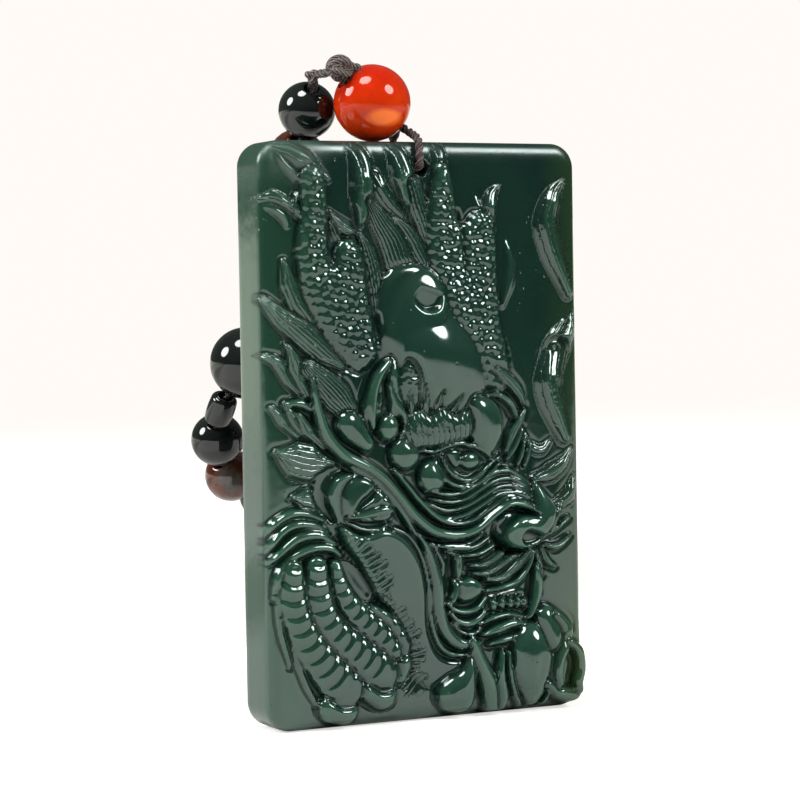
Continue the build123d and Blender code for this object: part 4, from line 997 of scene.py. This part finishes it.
def make_hanging_cord(material):
    """The doubled cord in the red bead, and its loop over the top edge and through the hole."""
    spread = np.array((0, 0.48, 0))
    in_bead = [red_centre + bore_down * depth for depth in (1.0, 2.6, 3.9)]
    route = [point - spread for point in in_bead] + [
        (-0.35, -1.3, 61.2), (-0.32, -2.3, 60.8), (-0.42, -3.4, 60.42), (-0.55, -4.2, 59.85),
        (-0.62, -4.36, 59.0), (-0.6, -4.36, 58.2), (-0.52, -4.25, 57.6), (-0.46, -3.6, 57.32),
        (-0.4, -2.4, 57.3), (-0.3, 0.0, 57.3), (-0.2, 2.3, 57.3), (-0.2, 3.1, 57.5), (-0.2, 3.15, 58.6),
        (-0.22, 3.1, 59.9), (-0.26, 2.6, 60.6), (-0.4, 1.5, 61.1)]
    route += [point + spread for point in reversed(in_bead)]
    parts = twisted(smooth_route(route), 0.86 * cord_diameter, 1.8, step=0.08, around=10, start=-4.1)
    make_joined("hanging_cord_twisted", parts, material, "hanging_cord", "cord_place")


def knot_line(centre, axis, length, core, swing, leads, bights, steps=220):
    """A closed line that winds round an axis and to and fro along it."""
    t = np.arange(steps) * 2 * math.pi / steps
    turn = np.array(Vector(axis).to_track_quat("Z", "Y").to_matrix())
    radius = core + swing * np.cos(bights * t)
    thin = np.sqrt(np.clip(1 - (0.86 * np.sin(bights * t)) ** 2, 0.2, 1))
    own = np.stack([radius * thin * np.cos(leads * t), radius * thin * np.sin(leads * t),
                    length / 2 * np.sin(bights * t)], -1)
    return own @ turn.T + np.asarray(centre)


def closed_strand(line, radius, around):
    """One round strand along a closed line."""
    at = np.concatenate([[0], np.cumsum(np.linalg.norm(np.diff(line, axis=0), axis=1))])
    return strand(line, at, radius, around, closed=True)


knot_low, knot_high = (np.array(corner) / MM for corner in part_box("wrapped_knot"))
knot_centre = np.array([knot_low[0] + 1.6, (knot_low[1] + knot_high[1]) / 2, knot_high[2] - 1.5])
small_low, small_high = (np.array(corner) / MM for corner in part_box("small_knot"))
small_radius = 0.72
small_centre = np.array([small_low[0] + small_radius, small_high[1] - small_radius,
                         small_low[2] + small_radius])


def make_wrapped_knot(material):
    """The wound knot over the red bead, its tail and the cord that goes down the bead's bore."""
    axis = (1.0, 0.1, 0.22)
    parts = [closed_strand(knot_line(knot_centre, axis, 2.2, core, 0.24, 2, 5), 0.3, 9)
             for core in (0.64, 0.92)]
    parts.append(closed_strand(knot_line(knot_centre, axis, 1.3, 0.25, 0.1, 1, 2, 60), 0.5, 8))
    tail = [knot_centre + (0.6, -0.2, 0.3), knot_centre + (1.5, -0.35, 0.25),
            knot_centre + (2.15, -0.35, -0.1), red_centre - bore_down * 3.6 + (0.25, -0.3, 0.2),
            red_centre - bore_down * 2.6]
    parts += twisted(smooth_route(tail), 0.8, 1.5)
    stem = [knot_centre + (-0.3, 0.1, 0), red_centre - bore_down * 4.3, red_centre - bore_down * 3.4]
    parts += twisted(smooth_route(stem), 1.2, 2.0)
    make_joined("wrapped_knot_wound", parts, material, "wrapped_knot", "cord_place")


def make_small_knot(material):
    """The stopper knot over the first black bead, with its link to the wrapped knot."""
    t = np.arange(120) * 2 * math.pi / 120
    turn = np.array(Vector((0.5, 0.9, -0.2)).to_track_quat("Z", "Y").to_matrix())
    # a trefoil line
    own = np.stack([np.sin(t) + 1.75 * np.sin(2 * t), np.cos(t) - 1.75 * np.cos(2 * t),
                    -1.5 * np.sin(3 * t)], -1)
    parts = [closed_strand(own * 0.2 @ turn.T + small_centre, 0.28, 9)]
    link = [knot_centre + (-0.7, 0.3, -0.15), knot_centre + (-1.25, 0.9, -0.55),
            small_centre + (0.35, -0.5, 0.25), small_centre]
    parts += twisted(smooth_route(link), 0.9, 1.5)
    make_joined("small_knot_tied", parts, material, "small_knot", "cord_place")


def make_thread(beads, material):
    """The thread through all the beads, from the small knot round to behind the red bead."""
    middles = [bead[2] for bead in beads]
    axis = beads[0][3] / np.linalg.norm(beads[0][3])
    start = [small_centre + (0.1, 0.1, 0), small_centre + (0.75, 1.0, -0.5), middles[0] - axis * 2.9]
    end = [(1.4, 9.1, 58.0), (-0.6, 7.0, 64.4), (-3.2, 3.9, 67.4), knot_centre + (0.6, 1.0, 0.2)]
    through, _ = smooth_line(np.array(middles))
    first, last = smooth_route(start + [middles[0]]), smooth_route([middles[-1]] + end)
    line = np.vstack([first[:-1], through, last[1:]])
    parts = twisted(line, thread_diameter, 1.3, step=0.3, around=6)
    # the sleeve of cord from the small knot to the first bead
    parts += twisted(first, 1.05, 3.4, step=0.08, around=10, start=-30)
    make_joined("bead_thread_twisted", parts, material, "bead_thread", "cord_place")


# Materials

def feed(tree, value, socket):
    """Give a socket a value, or a link where the value is another node's socket."""
    if isinstance(value, bpy.types.NodeSocket):
        tree.links.new(value, socket)
    else:
        socket.default_value = value


def add(tree, kind, **settings):
    """A shader node with its settings; a name that is a socket's label feeds that socket."""
    node = tree.nodes.new("ShaderNode" + kind)
    for name, value in settings.items():
        if hasattr(node, name):
            setattr(node, name, value)
        else:
            feed(tree, value, node.inputs[name.replace("_", " ")])
    return node


def maths(tree, operation, *values):
    """What a Math node makes of numbers and sockets."""
    node = add(tree, "Math", operation=operation)
    for value, socket in zip(values, node.inputs):
        feed(tree, value, socket)
    return node.outputs[0]


def noise(tree, place, **settings):
    """Cloudy noise at a place, from 0 to 1."""
    return add(tree, "TexNoise", Vector=place, **settings).outputs["Fac"]


def ranged(tree, value, low, high, to_low=0.0, to_high=1.0):
    """A value brought from one range to another, and kept within it."""
    return add(tree, "MapRange", Value=value, From_Min=low, From_Max=high, To_Min=to_low,
               To_Max=to_high).outputs["Result"]


def split(tree, vector):
    """A place's three parts."""
    parts = add(tree, "SeparateXYZ")
    tree.links.new(vector, parts.inputs[0])
    return parts.outputs


def kept(tree, name, output="Fac"):
    """What a mesh keeps on its points under a name."""
    return add(tree, "Attribute", attribute_name=name).outputs[output]


def own_place(tree):
    """Where a point is in its piece, in millimetres."""
    where = add(tree, "TexCoord").outputs["Object"]
    return add(tree, "Mapping", Vector=where, Scale=(1 / MM, 1 / MM, 1 / MM)).outputs["Vector"]


def between(tree, factor, first, second):
    """A colour between two, by a mask; each is a colour or a socket."""
    mix = add(tree, "Mix", data_type="RGBA", Factor=factor)
    slots = [socket for socket in mix.inputs if socket.type == "RGBA"]
    for slot, value in zip(slots, (first, second)):
        feed(tree, (*value, 1) if isinstance(value, tuple) else value, slot)
    return [socket for socket in mix.outputs if socket.type == "RGBA"][0]


def layered(tree, colour, *layers):
    """A colour with others over it, each by its own mask."""
    for mask, tint in layers:
        colour = between(tree, mask, colour, tint)
    return colour


def total(tree, first, *others):
    """The sum of some sockets."""
    for other in others:
        first = maths(tree, "ADD", first, other)
    return first


def fine_relief(tree, *heights):
    """The normal that fine relief gives, from heights in millimetres."""
    bump = add(tree, "Bump", Strength=1.0, Distance=MM, Height=total(tree, *heights))
    return bump.outputs["Normal"]


def new_group(name, **inputs):
    """A shader node group with its named inputs: numbers, or a place where there is no number."""
    group = bpy.data.node_groups.new(name, "ShaderNodeTree")
    for label, value in inputs.items():
        kind = "NodeSocketVector" if value is None else "NodeSocketFloat"
        socket = group.interface.new_socket(label.replace("_", " "), in_out="INPUT", socket_type=kind)
        if value is not None:
            socket.default_value = value
    return group, group.nodes.new("NodeGroupInput").outputs


def give_out(group, **results):
    """The group's named outputs, and what they give."""
    for label in results:
        group.interface.new_socket(label, in_out="OUTPUT", socket_type="NodeSocketFloat")
    result = group.nodes.new("NodeGroupOutput")
    for label, value in results.items():
        group.links.new(value, result.inputs[label])
    return group


def placed(tree, group, **values):
    """What a group gives in a material, with the material's own values."""
    node = tree.nodes.new("ShaderNodeGroup")
    node.node_tree = group
    for name, value in values.items():
        feed(tree, value, node.inputs[name.replace("_", " ")])
    return node.outputs


def clouds_group():
    """Soft clouds and finer streaks in a stone."""
    group, given = new_group("stone clouds", Place=None, Size=4.0, Sharpness=0.5)
    broad = noise(group, given["Place"], Scale=given["Size"], Detail=4.0, Roughness=0.55, Distortion=0.4)
    low = maths(group, "MULTIPLY_ADD", given["Sharpness"], 0.22, 0.24)
    high = maths(group, "MULTIPLY_ADD", given["Sharpness"], -0.22, 0.76)
    finer = maths(group, "MULTIPLY", given["Size"], 3.6)
    streaks = noise(group, given["Place"], Scale=finer, Detail=3.0, Roughness=0.6, Distortion=1.6)
    return give_out(group, Clouds=ranged(group, broad, low, high), Streaks=streaks)


def polish_group():
    """The faint marks that polishing leaves: uneven gloss, slight waves and tiny pits, in millimetres."""
    group, given = new_group("polish marks", Place=None, Gloss=0.1, Uneven=0.05, Pit_Size=1.6)
    smear = noise(group, given["Place"], Scale=0.9, Detail=5.0, Roughness=0.6)
    rough = maths(group, "MULTIPLY_ADD", smear, given["Uneven"], given["Gloss"])
    patches = noise(group, given["Place"], Scale=0.13, Detail=4.0, Roughness=0.65)
    largest = ranged(group, patches, 0.5, 0.72, 0.0, 0.3)
    spots = add(group, "TexVoronoi", feature="F1", Vector=given["Place"], Scale=given["Pit Size"],
                Randomness=1.0)
    pits = ranged(group, spots.outputs["Distance"], 0.0, largest, 1.0, 0.0)
    waves = noise(group, given["Place"], Scale=0.55, Detail=1.0)
    height = maths(group, "MULTIPLY_ADD", waves, 0.014, maths(group, "MULTIPLY", pits, -0.03))
    return give_out(group, Roughness=rough, Pits=pits, Height=height)


def lines_group():
    """Fine lines cut by hand along the forms, and how deep they are in millimetres."""
    group, given = new_group("hand-cut lines", Lines=None, Depth=0.1)
    _, counted, shown = split(group, given["Lines"])
    stray = noise(group, given["Lines"], Scale=0.8, Detail=2.0)
    strong = noise(group, given["Lines"], Scale=1.7, Detail=2.0)
    turn = maths(group, "MULTIPLY", maths(group, "MULTIPLY_ADD", stray, 0.5, counted), math.pi)
    ridge = maths(group, "POWER", maths(group, "ABSOLUTE", maths(group, "SINE", turn)), 0.4)
    height = maths(group, "MULTIPLY", maths(group, "SUBTRACT", 1.0, ridge), given["Depth"])
    for share in (shown, strong, -2.0):
        height = maths(group, "MULTIPLY", height, share)
    return give_out(group, Height=height)


def fibres_group():
    """Fine fibres that wind round a strand of cord."""
    group, given = new_group("cord fibres", Place=None, Slant=3.0, Count=9.0)
    along, side, other = split(group, given["Place"])
    wound = maths(group, "MULTIPLY_ADD", along, given["Slant"], maths(group, "ARCTAN2", side, other))
    wave = maths(group, "SINE", maths(group, "MULTIPLY", wound, given["Count"]))
    fuzz = noise(group, given["Place"], Scale=5.0, Detail=4.0, Roughness=0.7)
    height = maths(group, "MULTIPLY_ADD", wave, 0.22, fuzz)
    # painted shade: a cord is dark where it comes out of a bead, and darker between its fibres
    shade = maths(group, "MULTIPLY", height, ranged(group, along, -0.6, 0.4))
    return give_out(group, Height=height, Shade=shade)


clouds, polish, cuts, fibres = clouds_group(), polish_group(), lines_group(), fibres_group()


def new_material(name):
    """A material and its node tree."""
    material = bpy.data.materials.new(name)
    material.use_nodes = True
    return material, material.node_tree


def give_surface(material, **settings):
    """Feed the sockets of a material's surface shader."""
    tree = material.node_tree
    for name, value in settings.items():
        feed(tree, value, tree.nodes["Principled BSDF"].inputs[name.replace("_", " ")])
    return material


def stone(tree, place, size, sharpness, gloss, uneven, pit_size):
    """The clouds and the polish of a stone."""
    veins = placed(tree, clouds, Place=place, Size=size, Sharpness=sharpness)
    return veins, placed(tree, polish, Place=place, Gloss=gloss, Uneven=uneven, Pit_Size=pit_size)


def jade_material():
    """Dark green polished nephrite, lighter on the carving and near its edges, painted shade in its grooves.
    """
    material, tree = new_material("polished jade")
    place = own_place(tree)
    x, y, z = split(tree, place)
    veins, marks = stone(tree, place, 0.07, 0.4, 0.06, 0.09, 1.1)
    lines = placed(tree, cuts, Lines=kept(tree, "carving_lines", "Vector"), Depth=0.11)
    height, hollow, groove = (kept(tree, "carving_" + name) for name in ("height", "hollow", "grooves"))
    right = ranged(tree, x, 13.5, 18.5, 0.0, 0.8)
    low_right = maths(tree, "MULTIPLY", right, ranged(tree, z, 15.0, 8.0))
    colour = layered(
        tree, between(tree, veins["Clouds"], (0.0028, 0.0150, 0.0125), (0.0060, 0.0270, 0.0160)),
        (ranged(tree, height, 0.2, 1.2, 0.0, 0.42), (0.0150, 0.0520, 0.0340)),
        # painted light: lighter green near the left edge, where light comes in through the lit side wall
        (ranged(tree, x, -10, -18, 0.0, 0.85), (0.0130, 0.0460, 0.0270)),
        (right, (0.0170, 0.0380, 0.0130)),
        (ranged(tree, hollow, 0.05, 0.4, 0.0, 0.8), (0.0240, 0.0780, 0.0480)),
        # painted shade: darker in the deep hollows and the fine grooves
        (ranged(tree, hollow, -0.1, -0.45, 0.0, 0.6), (0.0024, 0.0120, 0.0095)),
        (ranged(tree, groove, -0.015, -0.08, 0.0, 0.5), (0.0018, 0.0090, 0.0075)),
        (low_right, (0.0300, 0.0520, 0.0130)),
        (ranged(tree, marks["Pits"], 0.4, 0.9, 0.0, 0.5), (0.02, 0.045, 0.035)))
    # the top edge is frosted, less so on the right, and the leaf below its left end is worn
    top_edge = maths(tree, "MULTIPLY", ranged(tree, z, 57.6, 59.4), ranged(tree, y, -2.4, -3.4))
    top_right = maths(tree, "MULTIPLY", top_edge, ranged(tree, x, -2.0, 4.0))
    worn_leaf = maths(tree, "MULTIPLY", ranged(tree, z, 54.5, 57.0), ranged(tree, x, -10.0, -13.0, 0.0, 0.2))
    rough = total(tree, marks["Roughness"], ranged(tree, hollow, -0.12, -0.4, 0.0, 0.2),
                  ranged(tree, top_edge, 0.0, 1.0, 0.0, 0.22), worn_leaf)
    # painted shade: the grooves reflect less
    gloss = maths(tree, "MULTIPLY", ranged(tree, groove, -0.012, -0.08, 0.5, 0.2),
                  ranged(tree, top_right, 0.0, 1.0, 1.0, 0.8))
    return give_surface(
        material, Base_Color=colour, Roughness=rough, Specular_IOR_Level=gloss, IOR=1.8,
        Specular_Tint=(0.85, 0.99, 0.95, 1), Normal=fine_relief(tree, marks["Height"], lines["Height"]))


def carnelian_material():
    """Red carnelian with painted orange light low on one side."""
    material, tree = new_material("red carnelian")
    place = kept(tree, "stone_place", "Vector")
    veins, marks = stone(tree, place, 0.16, 0.3, 0.05, 0.03, 0.6)
    # painted light: a bright orange patch low on the bead's front
    lens = add(tree, "Mapping", vector_type="TEXTURE", Vector=place, Location=(-0.3, -3.7, -1.75),
               Rotation=(0, 0, math.radians(-26)), Scale=(2.3, 3.4, 1.05))
    painted_glow = add(tree, "TexGradient", gradient_type="SPHERICAL", Vector=lens.outputs["Vector"])
    colour = layered(
        tree, between(tree, veins["Clouds"], (0.40, 0.008, 0.001), (0.56, 0.030, 0.002)),
        (ranged(tree, split(tree, place)["Z"], 1.6, -2.0, 0.0, 0.6), (0.56, 0.042, 0.003)),
        (ranged(tree, painted_glow.outputs["Fac"], 0.05, 0.45), (0.86, 0.165, 0.016)))
    return give_surface(
        material, Base_Color=colour, Roughness=marks["Roughness"], IOR=1.46, Specular_IOR_Level=0.36,
        Specular_Tint=(1.0, 0.96, 0.93, 1), Subsurface_Weight=0.25, Subsurface_Radius=(1.0, 0.25, 0.08),
        Subsurface_Scale=0.0016)


def black_stone_material():
    """Black onyx, nearly even."""
    material, tree = new_material("black onyx")
    veins, marks = stone(tree, kept(tree, "stone_place", "Vector"), 0.2, 0.4, 0.04, 0.05, 0.7)
    colour = layered(
        tree, between(tree, veins["Clouds"], (0.0035, 0.0045, 0.0045), (0.008, 0.011, 0.010)),
        (ranged(tree, marks["Pits"], 0.5, 0.9, 0.0, 0.3), (0.05, 0.05, 0.05)))
    return give_surface(material, Base_Color=colour, Roughness=marks["Roughness"], IOR=1.58)


def agate_material():
    """Red-brown agate with grey bands."""
    material, tree = new_material("banded agate")
    place = kept(tree, "stone_place", "Vector")
    veins, marks = stone(tree, place, 0.3, 0.3, 0.06, 0.05, 0.7)
    bands = add(tree, "TexWave", wave_type="BANDS", bands_direction="DIAGONAL", Vector=place, Scale=0.12,
                Distortion=3.0, Detail=3.0)
    colour = layered(
        tree, between(tree, veins["Clouds"], (0.030, 0.006, 0.003), (0.135, 0.024, 0.007)),
        (ranged(tree, bands.outputs["Fac"], 0.62, 0.9), (0.075, 0.060, 0.050)),
        (ranged(tree, veins["Streaks"], 0.58, 0.72), (0.016, 0.005, 0.004)))
    return give_surface(
        material, Base_Color=colour, Roughness=marks["Roughness"], IOR=1.54, Coat_Weight=0.4,
        Subsurface_Weight=0.15, Subsurface_Radius=(0.8, 0.3, 0.2), Subsurface_Scale=0.001)


def cord_material(name, dark, light):
    """Waxed twisted cord."""
    material, tree = new_material(name)
    wound = placed(tree, fibres, Place=kept(tree, "cord_place", "Vector"), Slant=2.4, Count=5.0)
    height = maths(tree, "MULTIPLY", wound["Height"], 0.11)
    return give_surface(
        material, Base_Color=between(tree, ranged(tree, wound["Shade"], 0.42, 0.82), dark, light),
        Roughness=0.42, Sheen_Weight=0.2, Sheen_Roughness=0.4, Normal=fine_relief(tree, height))


jade, carnelian = jade_material(), carnelian_material()
stones = {"black_stone": black_stone_material(), "agate": agate_material()}
dark_cord = cord_material("dark twisted cord", (0.010, 0.004, 0.005), (0.185, 0.105, 0.110))
brown_cord = cord_material("brown wound cord", (0.010, 0.005, 0.004), (0.28, 0.215, 0.185))

make_plaque(jade)
beads = make_beads(stones)
make_red_bead(carnelian)
make_hanging_cord(dark_cord)
make_wrapped_knot(brown_cord)
make_small_knot(brown_cord)
make_thread(beads, brown_cord)


# Studio

scene = bpy.context.scene
scene.view_settings.view_transform = "Standard"
scene.view_settings.look = "None"


def make_camera(place, yaw, pitch, roll, length):
    """The photograph's camera: it looks along +Y, turned right, tilted down and rolled, in degrees."""
    yaw, pitch, roll = (math.radians(angle) for angle in (yaw, pitch, roll))
    ahead = Vector((math.sin(yaw) * math.cos(pitch), math.cos(yaw) * math.cos(pitch), -math.sin(pitch)))
    level_right = ahead.cross(Vector((0, 0, 1))).normalized()
    level_up = level_right.cross(ahead)
    right = level_right * math.cos(roll) + level_up * math.sin(roll)
    up = level_up * math.cos(roll) - level_right * math.sin(roll)
    lens = bpy.data.cameras.new("camera")
    lens.lens = length
    lens.sensor_width = 36
    lens.clip_start = 0.01
    camera = bpy.data.objects.new("camera", lens)
    camera.matrix_world = Matrix((*((right[k], up[k], -ahead[k], place[k]) for k in range(3)), (0, 0, 0, 1)))
    scene.collection.objects.link(camera)
    scene.camera = camera


def make_floor():
    """A pale floor, bright before the camera, that fades into the pale backdrop."""
    mesh = bpy.data.meshes.new("floor")
    half_wide, front, back, under = 1.4, -0.6, 1.2, -0.0001
    mesh.from_pydata([(-half_wide, front, under), (half_wide, front, under), (half_wide, back, under),
                      (-half_wide, back, under)], [], [(0, 1, 2, 3)])
    floor = bpy.data.objects.new("floor", mesh)
    scene.collection.objects.link(floor)
    material, tree = new_material("pale floor")
    _, y, _ = split(tree, add(tree, "TexCoord").outputs["Object"])
    # painted shade in a darker strip behind the plaque, and an end that fades out
    painted_shade_strip = maths(tree, "MULTIPLY", ranged(tree, y, 0.06, 0.09), ranged(tree, y, 0.19, 0.15))
    shown = maths(tree, "MULTIPLY", ranged(tree, y, -0.42, -0.22), ranged(tree, y, 0.75, 0.32))
    seen = add(tree, "LightPath").outputs["Is Camera Ray"]
    give_surface(
        material, Base_Color=between(tree, painted_shade_strip, (0.74, 0.73, 0.70), (0.36, 0.37, 0.34)), Roughness=0.6,
        Specular_IOR_Level=0.2, Emission_Color=(1, 0.99, 0.97, 1),
        Emission_Strength=maths(tree, "MULTIPLY", seen, 0.62), Alpha=shown)
    mesh.materials.append(material)


def make_softbox(name, direction, distance, size):
    """A round soft light that looks at the plaque from a direction."""
    radiance = 17
    light = bpy.data.lights.new(name, "AREA")
    light.shape = "DISK"
    light.size = size
    light.energy = radiance * math.pi * math.pi * size * size / 4
    holder = bpy.data.objects.new(name, light)
    plaque_middle = Vector((0, 0, 0.035))
    direction = Vector(direction).normalized()
    holder.location = plaque_middle + direction * distance
    holder.rotation_mode = "QUATERNION"
    holder.rotation_quaternion = direction.to_track_quat("Z", "Y")
    scene.collection.objects.link(holder)


def make_world():
    """A dark room before the plaque, a bright low band behind it, and a pale backdrop."""
    world = bpy.data.worlds.new("studio")
    scene.world = world
    world.use_nodes = True
    tree = world.node_tree
    backdrop = tree.nodes["Background"]
    backdrop.inputs["Color"].default_value = (1.0, 0.958, 0.915, 1)
    _, y, z = split(tree, add(tree, "TexCoord").outputs["Generated"])
    band = maths(tree, "MULTIPLY", ranged(tree, y, 0.1, 0.55), ranged(tree, z, 0.038, 0.028))
    room = layered(
        tree, between(tree, ranged(tree, z, -0.1, 1.0), (0.02, 0.022, 0.024), (0.16, 0.16, 0.16)),
        (ranged(tree, y, 0.0, 0.8), (0.12, 0.14, 0.12)),
        (band, (1.16, 1.22, 1.02)))
    lit = add(tree, "Background", Color=room)
    mix = add(tree, "MixShader")
    seen = add(tree, "LightPath").outputs["Is Camera Ray"]
    for value, socket in zip((seen, lit.outputs[0], backdrop.outputs[0]), mix.inputs):
        tree.links.new(value, socket)
    tree.links.new(mix.outputs[0], tree.nodes["World Output"].inputs["Surface"])


make_camera((-0.117708, -0.236796, 0.042885), 26.2, 2.1, -1.0, 113.47)
make_floor()
make_world()
make_softbox("top softbox", (-0.37, -0.18, 0.92), 0.9, 0.42)
make_softbox("left softbox", (-0.84, 0.24, 0.485), 1.0, 0.44)
make_softbox("right softbox", (0.484, -0.682, 0.56), 1.0, 0.44)
